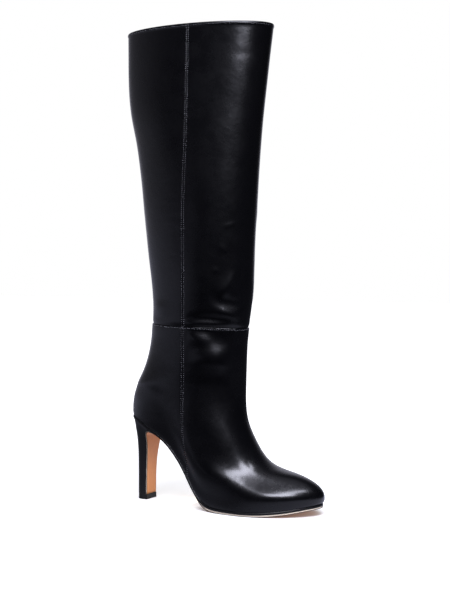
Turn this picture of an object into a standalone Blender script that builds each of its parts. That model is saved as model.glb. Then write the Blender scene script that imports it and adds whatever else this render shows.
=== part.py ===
"""Knee-high leather boot on a slim covered heel, the right shoe of a pair.

Metres, +Z up. +X runs to the toe and +Y to the inner (medial) side of the foot. The origin is the
middle of the top lift's bottom face, on the floor. Every curved piece is worked out from one
surface, leather_point(), which runs in level loops from the sole's edge to the collar.
"""
import math
from collections import namedtuple

import bmesh
import bpy
import numpy as np
from mathutils import Matrix, Vector

MM = 0.001
PERCENT = 0.01

# ---- driving sizes ----
FOOT_LENGTH = 220 * MM       # back of the seat to the toe, measured level
BALL_WIDTH = 80 * MM
HEEL_HEIGHT = 91 * MM        # back edge of the seat above the floor
INSTEP_HEIGHT = 125.5 * MM   # bend of the instep above the floor
COLLAR_HEIGHT = 494.4 * MM
WALL = 1.8 * MM              # outer leather and lining together
GAP = 0.3 * MM               # clearance between pieces that touch
FOOT_COLUMNS = 72            # points round each loop of the foot and of the sole
SHAFT_COLUMNS = 44

MIDSOLE_THICKNESS = 1.8 * MM
MIDSOLE_PROUD = 0.5 * MM     # how far its edge stands out from the leather
OUTSOLE_THICKNESS = 2.4 * MM
TOE_THICKNESS = 1.6 * MM     # outsole at the tip of the toe
SHANK_THICKNESS = 1.5 * MM   # outsole under the arch
FLAP_THICKNESS = 1.3 * MM    # outsole down the heel's front
WAIST_INSET = 3.2 * MM       # outsole drawn in under the arch, so its edge hides
INSOLE_THICKNESS = 1.5 * MM
INSOLE_INSET = 2.3 * MM

TOP_LIFT_HEIGHT = 5.5 * MM
HEEL_TIP_BACK = -8.6 * MM
HEEL_TIP_FRONT = 4.2 * MM     # front of the block, behind the outsole's flap
HEEL_TIP_HALF_WIDTH = 9.3 * MM
HEEL_SEAT_BACK = -13.2 * MM
HEEL_SEAT_HALF_WIDTH = 22.3 * MM
HEEL_FLARE = 4.5             # power of the widening from tip to seat
BREAST_ARC = 7.0 * MM        # round at the top of the heel's front
BREAST_TOP_X = 7.8 * MM

ZIP_TOP = 270 * MM
ZIP_BOTTOM = 64 * MM
SLOT_WIDTH = 1.8 * MM
TAPE_HALF_TURN = 0.028       # share of a loop from the zip's middle to the tape's edge
TAPE_THICKNESS = 0.8 * MM
SLIDER_SIZE = (6.4 * MM, 9.0 * MM, 1.6 * MM)   # across the zip, along it, thick
SLIDER_LIFT = 0.35 * MM      # its plate clear of the leather
SLIDER_DROP = 8 * MM         # its middle below the top of the zip
PULL_LENGTH = 27 * MM
PULL_WIDTH = 6.4 * MM
PULL_WIRE = 0.75 * MM        # radius
BRIDGE_ARC = 2.9 * MM
BRIDGE_WIRE = 0.6 * MM
PIVOT_LIFT = 1.15 * MM       # pull's pivot above the slider's plate

# ---- sections of the leather: level loops, from the sole's edge to the collar ----
# Lengths are in percent of FOOT_LENGTH, widths in percent of half of BALL_WIDTH. Heights at the
# back and the front are in percent of HEEL_HEIGHT and INSTEP_HEIGHT on the foot, and of
# COLLAR_HEIGHT on the shaft. Drop is how far a loop follows the arch of the sole. The widths are
# read at the shares of a loop's length in WIDTH_STATIONS, as an ellipse's half-width there.
Section = namedtuple("Section", "name level back back_up front front_up drop widths")
WIDTH_STATIONS = (0.0, 0.12, 0.30, 0.50, 0.70, 0.86, 1.0)
FOOT_SECTIONS = (
    Section("sole_edge", 0.0, -6.0, 100.0, 92.7, 9.2, 1.00, (108, 91, 70, 83, 109, 112, 100)),
    Section("bulge", 0.35, -6.5, 103.3, 93.7, 12.4, 0.97, (106, 96, 74, 85, 109, 115, 104)),
    Section("toe_crown", 0.7, -6.6, 108.2, 92.2, 20.4, 0.92, (105, 98, 77, 86, 108, 118, 106)),
    Section("toe_box", 1.1, -6.3, 114.8, 82.8, 29.7, 0.86, (103, 98, 80, 90, 102, 101, 105)),
    Section("vamp", 1.6, -5.4, 124.2, 67.6, 37.2, 0.72, (100, 96, 82, 88, 100, 104, 116)),
    Section("instep", 2.1, -4.2, 131.9, 58.7, 55.6, 0.45, (96, 94, 84, 86, 91, 101, 114)),
    Section("waist", 2.6, -3.0, 139.0, 54.6, 75.7, 0.20, (95, 94, 86, 87, 86, 89, 91)),
    Section("ankle", 3.1, -1.8, 144.0, 54.0, 100.0, 0.00, (95, 95, 90, 89, 86, 84, 82)),
)
SHAFT_SECTIONS = (
    Section("ankle_top", 3.6, 2.3, 30.3, 54.2, 29.5, 0.0, (95, 94, 90, 89, 86, 83, 81)),
    Section("seam", 4.35, 5.7, 38.0, 55.1, 37.2, 0.0, (95, 95, 92, 91, 90, 88, 87)),
    Section("low_shaft", 5.2, 5.8, 44.5, 57.2, 44.5, 0.0, (98, 98, 98, 97, 95, 94, 93)),
    Section("calf_base", 6.2, 3.6, 52.6, 58.0, 52.6, 0.0, (102, 102, 102, 102, 100, 98, 96)),
    Section("calf", 7.4, 0.5, 64.7, 59.6, 64.7, 0.0, (107, 107, 107, 106, 104, 101, 100)),
    Section("upper_calf", 8.4, -3.4, 76.9, 61.7, 76.9, 0.0, (110, 110, 110, 108, 105, 102, 101)),
    Section("below_collar", 9.2, -7.5, 86.0, 64.1, 86.0, 0.0, (109, 109, 109, 107, 105, 102, 101)),
    Section("collar", 10.0, -8.5, 100.0, 68.2, 99.9, 0.0, (103, 103, 103, 103, 103, 103, 103)),
)
SEAM_LEVEL = 4.35            # the ankle seam, where the shaft is sewn to the foot
COLLAR_LEVEL = 10.0

# the sole's edge from the side: x in percent of FOOT_LENGTH, z in percent of HEEL_HEIGHT
SoleStation = namedtuple("SoleStation", "x z")
SOLE_PROFILE = (
    SoleStation(-9.0, 102.0), SoleStation(-6.0, 100.0), SoleStation(0.0, 95.6),
    SoleStation(7.0, 88.0), SoleStation(13.6, 80.2), SoleStation(19.1, 70.9),
    SoleStation(23.6, 59.9), SoleStation(27.3, 49.4), SoleStation(30.5, 38.5),
    SoleStation(33.6, 27.2), SoleStation(37.3, 16.0), SoleStation(41.8, 8.2),
    SoleStation(47.3, 5.2), SoleStation(54.5, 4.7), SoleStation(63.6, 4.6),
    SoleStation(72.7, 5.5), SoleStation(81.8, 7.9), SoleStation(88.6, 10.8),
    SoleStation(92.7, 12.6), SoleStation(95.0, 13.7),
)
# the foot's middle line from above, in percent of FOOT_LENGTH: it swings in at the toe
MIDLINE = (
    (-7.3, 0.0), (13.6, -0.2), (27.3, -0.9), (40.9, -1.5), (54.5, -0.9), (68.2, 0.3),
    (81.8, 1.3), (93.6, 2.2),
)
# the side seam from the side: height in percent of COLLAR_HEIGHT, x in percent of FOOT_LENGTH
SIDE_SEAM = (
    (6.0, 31.2), (11.3, 31.3), (14.6, 30.5), (22.3, 29.7), (30.3, 30.0), (37.2, 30.2),
    (43.5, 31.0), (60.0, 31.8), (75.0, 33.3), (89.0, 34.1), (100.0, 34.4),
)


def spline(knots, values, at):
    """Natural cubic spline through values (one row a knot), read at an array of places."""
    knots = np.asarray(knots, float)
    values = np.asarray(values, float)
    at = np.clip(np.asarray(at, float), knots[0], knots[-1])
    count = len(knots)
    step = np.diff(knots)
    spread = (-1,) + (1,) * (values.ndim - 1)
    slope = np.diff(values, axis=0) / step.reshape(spread)
    matrix = np.eye(count)
    target = np.zeros_like(values)
    for i in range(1, count - 1):
        matrix[i, i - 1] = step[i - 1]
        matrix[i, i] = 2 * (step[i - 1] + step[i])
        matrix[i, i + 1] = step[i]
        target[i] = 6 * (slope[i] - slope[i - 1])
    bend = np.linalg.solve(matrix, target.reshape(count, -1)).reshape(values.shape)
    i = np.clip(np.searchsorted(knots, at, side="right") - 1, 0, count - 2)
    shape = at.shape + (1,) * (values.ndim - 1)
    width = step[i].reshape(shape)
    right = (at - knots[i]).reshape(shape)
    left = width - right
    curve = (right**3 * bend[i + 1] + left**3 * bend[i]) / (6 * width)
    line = right / width * values[i + 1] + left / width * values[i]
    sag = width / 6 * (right * bend[i + 1] + left * bend[i])
    return curve + line - sag


def section_rows():
    """Levels, and a row each of back x, back z, front x, front z, drop and half-widths, in metres."""
    levels = []
    rows = []
    for sections, back_height, front_height in (
            (FOOT_SECTIONS, HEEL_HEIGHT, INSTEP_HEIGHT),
            (SHAFT_SECTIONS, COLLAR_HEIGHT, COLLAR_HEIGHT)):
        for s in sections:
            levels.append(s.level)
            row = [s.back * PERCENT * FOOT_LENGTH, s.back_up * PERCENT * back_height,
                   s.front * PERCENT * FOOT_LENGTH, s.front_up * PERCENT * front_height, s.drop]
            row += [w * PERCENT * BALL_WIDTH / 2 for w in s.widths]
            rows.append(row)
    return np.array(levels), np.array(rows)


LEVELS, ROWS = section_rows()


def sole_height(x):
    """Height of the sole's edge, where the leather starts, at x."""
    table = np.array(SOLE_PROFILE) * PERCENT * (FOOT_LENGTH, HEEL_HEIGHT)
    return spline(table[:, 0], table[:, 1], x)


def arch_dip(x):
    """How far the sole's edge lies below the straight line from its back to its toe, as a minus."""
    back_x, back_z, front_x, front_z = ROWS[0, :4]
    return sole_height(x) - back_z - (front_z - back_z) * (x - back_x) / (front_x - back_x)


def midline(x):
    """Sideways place of the foot's middle line at x."""
    table = np.array(MIDLINE) * PERCENT * FOOT_LENGTH
    return spline(table[:, 0], table[:, 1], x)


def leather_point(turn, level):
    """Point of the outer leather. Turn goes once round a loop: 0 back, 0.25 outer side, 0.5 front."""
    turn, level = np.broadcast_arrays(np.asarray(turn, float), np.asarray(level, float))
    row = spline(LEVELS, ROWS, level)
    back_x, back_z, front_x, front_z, drop = [row[..., k] for k in range(5)]
    angle = 2 * math.pi * turn
    share = (1 - np.cos(angle)) / 2
    weights = spline(WIDTH_STATIONS, np.eye(len(WIDTH_STATIONS)), share)
    width = (weights * row[..., 5:]).sum(-1)
    x = back_x + (front_x - back_x) * share
    dip = arch_dip(x) - arch_dip(front_x) * share
    z = back_z + (front_z - back_z) * share + drop * dip
    y = midline(x) * np.sqrt(np.clip(drop, 0, 1)) - width * np.sin(angle)
    return np.stack([x, y, z], -1)


def leather_frame(turn, level):
    """A point of the leather with its directions along the loop, up the boot and outward."""
    nudge = 0.002
    point = leather_point(turn, level)
    across = leather_point(turn + nudge, level) - leather_point(turn - nudge, level)
    upward = leather_point(turn, level + nudge) - leather_point(turn, level - nudge)
    outward = np.cross(across, upward)
    outward /= np.linalg.norm(outward, axis=-1, keepdims=True)
    across /= np.linalg.norm(across, axis=-1, keepdims=True)
    return point, across, np.cross(outward, across), outward


def bisect(is_past, low, high, steps=40):
    """Place between low and high where is_past turns true."""
    for _ in range(steps):
        middle = (low + high) / 2
        if is_past(middle):
            high = middle
        else:
            low = middle
    return (low + high) / 2


def seam_turn(level, inner=True):
    """Turn at which the side seam crosses a level, on the inner or the outer side."""
    table = np.array(SIDE_SEAM) * PERCENT * (COLLAR_HEIGHT, FOOT_LENGTH)

    def past_seam(turn):
        point = leather_point(turn, level)
        return point[0] > spline(table[:, 0], table[:, 1], point[2])

    turn = bisect(past_seam, 0.1, 0.45)
    return 1 - turn if inner else turn


def seam_level(height):
    """Level at which the inner side seam is at this height."""
    return bisect(lambda level: leather_point(seam_turn(level), level)[2] > height, 0.3, 9.9)


# ---- making meshes ----
def add_object(name, mesh, collection):
    """Object of the given name that holds the mesh, in the collection."""
    item = bpy.data.objects.new(name, mesh)
    collection.objects.link(item)
    return item


def loft(name, rings, collection, capped=True, wrapped=True):
    """Quads between equal rings of points, closed by a flat face at each end when capped."""
    mesh = bpy.data.meshes.new(name)
    bm = bmesh.new()
    rows = [[bm.verts.new(point) for point in ring] for ring in rings]
    count = len(rows[0])
    for lower, upper in zip(rows, rows[1:]):
        for i in range(count if wrapped else count - 1):
            j = (i + 1) % count
            bm.faces.new((lower[i], lower[j], upper[j], upper[i]))
    if capped:
        bm.faces.new(rows[0][::-1])
        bm.faces.new(rows[-1])
        bmesh.ops.recalc_face_normals(bm, faces=bm.faces)
    bm.to_mesh(mesh)
    bm.free()
    for face in mesh.polygons:
        face.use_smooth = len(face.vertices) == 4
    return add_object(name, mesh, collection)


def paint(item, name, colour, roughness, metallic=0.0):
    """Give the object its own material."""
    material = bpy.data.materials.new(name)
    material.use_nodes = True
    shader = material.node_tree.nodes["Principled BSDF"]
    shader.inputs["Base Color"].default_value = (*colour, 1.0)
    shader.inputs["Roughness"].default_value = roughness
    shader.inputs["Metallic"].default_value = metallic
    item.data.materials.clear()
    item.data.materials.append(material)


def add_boolean(item, cutter, operation):
    """Cut the object with the other one, or join them."""
    modifier = item.modifiers.new(cutter.name, "BOOLEAN")
    modifier.operation = operation
    modifier.solver = "EXACT"
    modifier.object = cutter


def hide_guide(item):
    """Keep a cutter or guide out of the picture."""
    item.hide_render = True
    item.display_type = "WIRE"


# ---- leather ----
def leather_shell(name, levels, around, collection):
    """Hollow wall between the first and last level, open at both ends."""
    turns = np.arange(around) / around
    rings = [leather_point(turns, level) for level in levels]
    shell = loft(name, rings, collection, capped=False)
    wall = shell.modifiers.new("wall", "SOLIDIFY")
    wall.thickness = WALL
    wall.offset = -1
    wall.use_even_offset = True
    return shell


def zip_slot(collection):
    """Cutter along the inner side seam, for the gap between the leather's edges at the zip."""
    rings = []
    for level in np.linspace(seam_level(ZIP_BOTTOM), seam_level(ZIP_TOP), 28):
        point, across, _, outward = leather_frame(seam_turn(level), level)
        side = across * SLOT_WIDTH / 2
        out = outward * 4 * MM
        rings.append([point - side - out, point + side - out, point + side + out,
                      point - side + out])
    slot = loft("zip_slot_cutter", rings, collection)
    hide_guide(slot)
    return slot


def zip_tape(collection):
    """Woven tape behind the slot, a thin strip that follows the lining."""
    margin = 6 * MM
    rings = []
    for level in np.linspace(seam_level(ZIP_BOTTOM - margin), seam_level(ZIP_TOP + margin), 28):
        middle = seam_turn(level)
        turns = middle + np.linspace(-TAPE_HALF_TURN, TAPE_HALF_TURN, 5)
        point, _, _, outward = leather_frame(turns, level)
        near = point - outward * (WALL + 1.5 * GAP)
        far = near - outward * TAPE_THICKNESS
        rings.append(list(near) + list(far[::-1]))
    return loft("zip_tape", rings, collection)


# ---- sole ----
def sole_outline(edge):
    """Outer and inner side of the sole from above, heel to toe, moved out by edge."""
    loop = leather_point(np.arange(FOOT_COLUMNS) / FOOT_COLUMNS, 0.0)
    ahead = np.roll(loop, -1, axis=0) - np.roll(loop, 1, axis=0)
    outward = np.stack([ahead[:, 1], -ahead[:, 0], np.zeros(len(loop))], -1)
    outward /= np.linalg.norm(outward, axis=-1, keepdims=True)
    grown = loop + edge * outward
    half = FOOT_COLUMNS // 2
    return grown[1:half], grown[:half:-1]


def drop_from_sole(points, distance):
    """Points moved square to the sole's profile, down and away from the foot."""
    x = points[..., 0]
    nudge = 0.5 * MM
    slope = (sole_height(x + nudge) - sole_height(x - nudge)) / (2 * nudge)
    length = np.sqrt(1 + slope**2)
    moved = np.array(points)
    moved[..., 0] = x + distance * slope / length
    moved[..., 2] = sole_height(x) - distance / length
    return moved


def sole_layer(name, edge, top, bottom, collection):
    """Slab that follows the sole's profile between two depths below it."""
    shares = np.linspace(0, 1, 5)[:, None]
    rings = []
    for outer, inner in zip(*sole_outline(edge)):
        rib = outer + (inner - outer) * shares
        rings.append(list(drop_from_sole(rib, top)) + list(drop_from_sole(rib, bottom)[::-1]))
    return loft(name, rings, collection)


# ---- heel ----
def breast_curve():
    """The outsole's inner face on the heel's front, from the tip up to the arch."""
    bottom = TOP_LIFT_HEIGHT + GAP
    centre_x = BREAST_TOP_X + BREAST_ARC
    centre_z = 68.2 * MM
    lower = np.array([(HEEL_TIP_FRONT, bottom), (4.5 * MM, 22 * MM),
                      (5.4 * MM, 42 * MM), (6.8 * MM, 56 * MM), (BREAST_TOP_X, centre_z)])
    heights = np.linspace(bottom, centre_z, 12)
    line = np.stack([spline(lower[:, 1], lower[:, 0], heights), heights], -1)
    angles = np.radians(np.linspace(168, 68, 9))
    arc = np.stack([centre_x + BREAST_ARC * np.cos(angles),
                    centre_z + BREAST_ARC * np.sin(angles)], -1)
    return np.concatenate([line, arc])


def offset_curve(curve, distance):
    """A curve in the side view moved sideways, to the left of its direction."""
    ahead = np.gradient(curve, axis=0)
    ahead /= np.linalg.norm(ahead, axis=-1, keepdims=True)
    return curve + distance * np.stack([-ahead[:, 1], ahead[:, 0]], -1)


def seat_height(x):
    """Height of the heel's top face, under the midsole, at x."""
    nudge = 0.5 * MM
    slope = (sole_height(x + nudge) - sole_height(x - nudge)) / (2 * nudge)
    return sole_height(x) - (MIDSOLE_THICKNESS + 2 * GAP) * np.sqrt(1 + slope**2)


def heel_ring(share):
    """Ring of the heel at a share of its height: round at the back and flat at the front."""
    bottom = TOP_LIFT_HEIGHT + GAP
    blend = share**HEEL_FLARE
    back = HEEL_TIP_BACK + (HEEL_SEAT_BACK - HEEL_TIP_BACK) * blend
    half_width = HEEL_TIP_HALF_WIDTH + (HEEL_SEAT_HALF_WIDTH - HEEL_TIP_HALF_WIDTH) * blend
    rounded = 0.55 + 0.45 * blend
    front_curve = offset_curve(breast_curve(), 2 * GAP)
    lip = front_curve[-4, 0]

    def past_breast(x):
        height = bottom + share * (seat_height(np.array(x)) - bottom)
        return x > np.interp(height, front_curve[:-3, 1], front_curve[:-3, 0])

    front = min(bisect(past_breast, back, 20 * MM), lip)
    angles = np.linspace(0, math.pi / 2, 9)
    along = np.concatenate([rounded * (1 - np.cos(angles)), [0.82 + 0.18 * rounded, 1.0]])
    wide = np.concatenate([np.sin(angles), [1.0, 0.985]])
    x = back + (front - back) * np.concatenate([along[::-1], along[1:]])
    y = half_width * np.concatenate([-wide[::-1], wide[1:]])
    z = bottom + share * (seat_height(x) - bottom)
    return np.stack([x, y, z], -1)


def covered_heel(collection):
    """Heel block, from the top lift to the seat."""
    shares = (0.0, 0.12, 0.28, 0.42, 0.54, 0.64, 0.73, 0.81, 0.88, 0.93, 0.965, 1.0)
    return loft("heel", [heel_ring(share) for share in shares], collection)


def top_lift(collection):
    """Rubber tip under the heel."""
    ring = heel_ring(0.0)
    back, front = ring[:, 0].min(), ring[:, 0].max()
    ring[:, 0] = back + (ring[:, 0] - back) * (front + FLAP_THICKNESS + GAP - back) / (front - back)
    rings = []
    for height in (0.0, TOP_LIFT_HEIGHT):
        level_ring = ring.copy()
        level_ring[:, 2] = height
        rings.append(level_ring)
    return loft("top_lift", rings, collection)


def half_width_at(curve, x):
    """Sideways place of one side of an outline at x."""
    order = np.argsort(curve[:, 0])
    return np.interp(x, curve[order, 0], curve[order, 1])


def outsole(collection):
    """Leather sole: flat under the ball, thin under the arch and down the front of the heel."""
    outer, inner = sole_outline(MIDSOLE_PROUD - 0.4 * MM)
    arch_start = 23 * MM
    stations = outer[:, 0][outer[:, 0] > arch_start][::-1]
    shares = np.linspace(0, 1, 5)[:, None]
    rings = []
    for x in stations:
        waist = np.clip((96 * MM - x) / (22 * MM), 0, 1)
        waist = waist * waist * (3 - 2 * waist)
        edge = np.array([[x, half_width_at(outer, x) + WAIST_INSET * waist, 0],
                         [x, half_width_at(inner, x) - WAIST_INSET * waist, 0]])
        rib = edge[0] + (edge[1] - edge[0]) * shares
        top = drop_from_sole(rib, MIDSOLE_THICKNESS + 2 * GAP)
        toe = np.clip((x - 160 * MM) / (44 * MM), 0, 1)
        depth = (OUTSOLE_THICKNESS + (SHANK_THICKNESS - OUTSOLE_THICKNESS) * waist
                 + (TOE_THICKNESS - OUTSOLE_THICKNESS) * toe)
        under = drop_from_sole(rib, MIDSOLE_THICKNESS + 2 * GAP + depth)
        under[:, 2] = np.maximum(under[:, 2], 0.0)
        rings.append(list(top) + list(under[::-1]))
    arch_half_width = abs(rings[-1][0][1] - rings[-1][4][1]) / 2
    inner_face = breast_curve()[::-1]
    outer_face = offset_curve(inner_face, FLAP_THICKNESS)
    tip_half_width = HEEL_TIP_HALF_WIDTH - 0.4 * MM
    for near, far in zip(inner_face[1:], outer_face[1:]):
        rise = np.clip(near[1] / seat_height(np.array(near[0])), 0, 1)
        flare = rise**HEEL_FLARE
        half_width = tip_half_width + (arch_half_width - tip_half_width) * flare
        sides = np.linspace(-half_width, half_width, 5)
        rings.append([(near[0], y, near[1]) for y in sides]
                     + [(far[0], y, far[1]) for y in sides[::-1]])
    return loft("outsole", rings, collection)


# ---- zip's metal ----
def slider_place():
    """Point on the leather under the slider's middle, with its directions as a matrix."""
    level = seam_level(ZIP_TOP - SLIDER_DROP)
    point, across, _, outward = leather_frame(seam_turn(level), level)
    across = -across
    across[2] = 0.0
    across /= np.linalg.norm(across)
    upward = np.cross(across, outward)
    if upward[2] < 0:
        upward = -upward
    outward = np.cross(upward, across)
    turned = Matrix((across, upward, -outward)).transposed().to_4x4()
    return Matrix.Translation(Vector(point)) @ turned


def wire_mesh(name, points, radius, closed, collection):
    """Round wire along the points, as a closed mesh."""
    curve = bpy.data.curves.new(name, "CURVE")
    curve.dimensions = "3D"
    curve.bevel_depth = radius
    curve.bevel_resolution = 2
    curve.use_fill_caps = not closed
    strand = curve.splines.new("POLY")
    strand.points.add(len(points) - 1)
    for knot, place in zip(strand.points, points):
        knot.co = (*place, 1.0)
    strand.use_cyclic_u = closed
    guide = add_object(name + "_curve", curve, collection)
    bpy.context.view_layer.update()
    shape = guide.evaluated_get(bpy.context.evaluated_depsgraph_get())
    mesh = bpy.data.meshes.new_from_object(shape)
    bm = bmesh.new()
    bm.from_mesh(mesh)
    bmesh.ops.remove_doubles(bm, verts=bm.verts, dist=1e-6)
    bmesh.ops.recalc_face_normals(bm, faces=bm.faces)
    bm.to_mesh(mesh)
    bm.free()
    bpy.data.objects.remove(guide)
    mesh.name = name
    return add_object(name, mesh, collection)


def box(name, size, centre, collection):
    """Block with its scale already in the mesh."""
    mesh = bpy.data.meshes.new(name)
    bm = bmesh.new()
    bmesh.ops.create_cube(bm, size=1.0)
    bmesh.ops.scale(bm, vec=size, verts=bm.verts)
    bmesh.ops.translate(bm, vec=centre, verts=bm.verts)
    bm.to_mesh(mesh)
    bm.free()
    return add_object(name, mesh, collection)


def zip_slider(collection, guides):
    """Slider: a plate on the leather, a neck in the slot and a bridge for the pull.

    Its own axes are across the zip, up along it, and x cross y, which points into the boot.
    """
    across, along, thick = SLIDER_SIZE
    plate = box("zip_slider", (across, along, thick), (0, 0, -(SLIDER_LIFT + thick / 2)), collection)
    edge = plate.modifiers.new("rounded_edge", "BEVEL")
    edge.width = 0.5 * MM
    edge.segments = 2
    neck_depth = 1.4 * MM
    overlap = 0.5 * MM
    neck = box("slider_neck", (0.9 * MM, 4 * MM, SLIDER_LIFT + neck_depth + overlap),
               (0, 0, (neck_depth - SLIDER_LIFT - overlap) / 2), guides)
    top = -(SLIDER_LIFT + thick)
    arch = []
    for angle in np.linspace(0, math.pi, 11):
        arch.append((0, BRIDGE_ARC * math.cos(angle), top - BRIDGE_ARC * math.sin(angle)))
    feet = 0.8 * MM
    arch = [(0, BRIDGE_ARC, top + feet)] + arch + [(0, -BRIDGE_ARC, top + feet)]
    bridge = wire_mesh("slider_bridge", arch, BRIDGE_WIRE, False, guides)
    for tool in (neck, bridge):
        tool.parent = plate
        hide_guide(tool)
        add_boolean(plate, tool, "UNION")
    plate.matrix_world = slider_place()
    return plate


def pivot_place():
    """The pull's pivot, lifted off the slider's plate, with the pull's own y straight up."""
    place = slider_place() @ Matrix.Translation((0, 0, -(SLIDER_LIFT + SLIDER_SIZE[2] + PIVOT_LIFT)))
    across = place.to_3x3().col[0]
    up = Vector((0, 0, 1))
    plumb = Matrix((across, up, across.cross(up))).transposed().to_4x4()
    return Matrix.Translation(place.translation) @ plumb


def zip_pull(collection):
    """Long wire loop that hangs from the slider's bridge. Its origin is on its pivot."""
    radius = PULL_WIDTH / 2 - PULL_WIRE
    straight = PULL_LENGTH - 2 * radius - 2 * PULL_WIRE
    path = []
    for angle in np.linspace(0, math.pi, 9):
        path.append((radius * math.cos(angle), radius * math.sin(angle) - radius, 0.0))
    for angle in np.linspace(math.pi, 2 * math.pi, 9):
        path.append((radius * math.cos(angle), radius * math.sin(angle) - radius - straight, 0.0))
    pull = wire_mesh("zip_pull", path, PULL_WIRE, True, collection)
    pull.matrix_world = pivot_place()
    return pull


def build():
    """Make every sub-part."""
    for item in list(bpy.data.objects):
        bpy.data.objects.remove(item)
    boot = bpy.data.collections.new("knee_boot_right")
    guides = bpy.data.collections.new("guides")
    bpy.context.scene.collection.children.link(boot)
    bpy.context.scene.collection.children.link(guides)

    black = (0.012, 0.012, 0.014)
    joint = 0.004                       # half of the clearance at the ankle seam, in levels
    foot_levels = (0, 0.12, 0.35, 0.55, 0.75, 0.95, 1.15, 1.4, 1.65, 1.9, 2.15, 2.4, 2.7, 3.1, 3.5,
                   3.9, SEAM_LEVEL - joint)
    shaft_levels = (SEAM_LEVEL + joint, 4.75, 5.2, 5.7, 6.2, 6.8, 7.4, 7.9, 8.4, 8.8, 9.2, 9.6,
                    COLLAR_LEVEL)
    upper = leather_shell("upper", foot_levels, FOOT_COLUMNS, boot)
    shaft = leather_shell("shaft", shaft_levels, SHAFT_COLUMNS, boot)
    slot = zip_slot(guides)
    add_boolean(upper, slot, "DIFFERENCE")
    add_boolean(shaft, slot, "DIFFERENCE")
    paint(upper, "black calf leather, foot", black, 0.22)
    paint(shaft, "black calf leather, shaft", black, 0.24)

    midsole = sole_layer("midsole", MIDSOLE_PROUD, GAP, GAP + MIDSOLE_THICKNESS, boot)
    paint(midsole, "black painted sole edge", black, 0.4)
    insole = sole_layer("insole", -INSOLE_INSET, -INSOLE_THICKNESS, -GAP / 3, boot)
    paint(insole, "black lining leather", (0.02, 0.019, 0.018), 0.6)
    paint(outsole(boot), "tan leather sole", (0.62, 0.36, 0.22), 0.5)
    paint(covered_heel(boot), "black leather heel cover", black, 0.3)
    paint(top_lift(boot), "black rubber top lift", (0.015, 0.015, 0.015), 0.6)

    paint(zip_tape(boot), "black zip tape", (0.01, 0.01, 0.01), 0.8)
    paint(zip_slider(boot, guides), "black nickel slider", (0.12, 0.12, 0.13), 0.3, 1.0)
    paint(zip_pull(boot), "black nickel pull", (0.12, 0.12, 0.13), 0.25, 1.0)


build()
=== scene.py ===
# %% [markdown]
# # A knee-high heeled boot, dressed piece by piece
# The CAD model of this right shoe gives every size and place. This lesson puts on it what a person
# sees: leather panels with folded edges and soft creases, rows of stitches, a covered heel, a thin
# leather sole and a hidden zip on the inner side. The model is loaded first and never moved, so
# each piece below is made where it belongs and needs no fitting afterwards.

# %% Load the CAD model
import math
from collections import namedtuple

import bmesh
import bpy
import numpy as np
from mathutils import Matrix, Vector


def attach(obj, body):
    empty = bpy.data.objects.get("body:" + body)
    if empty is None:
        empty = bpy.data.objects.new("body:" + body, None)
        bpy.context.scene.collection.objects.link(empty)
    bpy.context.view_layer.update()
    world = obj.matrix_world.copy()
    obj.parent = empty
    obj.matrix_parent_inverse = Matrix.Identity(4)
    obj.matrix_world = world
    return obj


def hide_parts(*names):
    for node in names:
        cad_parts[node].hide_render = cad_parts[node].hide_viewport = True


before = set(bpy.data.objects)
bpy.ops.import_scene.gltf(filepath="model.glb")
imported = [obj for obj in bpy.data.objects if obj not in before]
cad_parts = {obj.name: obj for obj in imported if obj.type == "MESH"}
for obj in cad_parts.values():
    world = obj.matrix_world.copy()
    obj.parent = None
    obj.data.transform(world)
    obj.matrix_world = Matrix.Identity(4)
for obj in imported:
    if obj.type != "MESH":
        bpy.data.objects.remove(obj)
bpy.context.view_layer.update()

MM = 0.001
PERCENT = 0.01
print("CAD nodes:", sorted(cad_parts))

# %% [markdown]
# ## Camera
# A shoe is best shown from near its own height and a little in front of its side, through a long
# lens, so that the shaft doesn't seem to lean. The camera stands 1.35 m off, level with the middle
# of the boot, and looks down by less than two degrees, which keeps the upright lines upright.

# %% Camera
def add_object(name, data):
    """Object in the scene that holds this data."""
    item = bpy.data.objects.new(name, data)
    bpy.context.scene.collection.objects.link(item)
    return item


def add_aimed(name, data, place, target):
    """Camera or light that stands at a place and faces its target."""
    item = add_object(name, data)
    item.location = place
    item.rotation_mode = "QUATERNION"
    item.rotation_quaternion = (Vector(target) - Vector(place)).to_track_quat("-Z", "Y")
    return item


CAMERA_PLACE = Vector((0.7418, -1.1426, 0.2545))
CAMERA_TARGET = Vector((0.078, 0.032, 0.213))
lens = bpy.data.cameras.new("studio_camera")
lens.sensor_width = 36.0
lens.lens = 76.2
bpy.context.scene.camera = add_aimed("studio_camera", lens, CAMERA_PLACE, CAMERA_TARGET)
print("camera to boot, m:", round((CAMERA_TARGET - CAMERA_PLACE).length, 3))

# %% [markdown]
# ## Nodes and colours
# Materials and Geometry Nodes are both trees of nodes, so one small function that adds a node with
# its settings and links serves both. Colours are written as sRGB hex, as on a colour chart, and
# turned to the linear values that a shader works in.

# %% Node and colour helpers
def add_node(tree, kind, inputs=(), **settings):
    """A node of this kind. Each input is a value, or the output of another node to link."""
    node = tree.nodes.new(kind)
    for name, value in settings.items():
        setattr(node, name, value)
    for key, value in dict(inputs).items():
        if isinstance(value, bpy.types.NodeSocket):
            tree.links.new(value, node.inputs[key])
        else:
            node.inputs[key].default_value = value
    return node


def hex_colour(code):
    """sRGB hex as linear red, green, blue and full alpha."""
    parts = [int(code[i:i + 2], 16) / 255 for i in (1, 3, 5)]
    linear = [v / 12.92 if v <= 0.04045 else ((v + 0.055) / 1.055)**2.4 for v in parts]
    return (*linear, 1.0)


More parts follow.
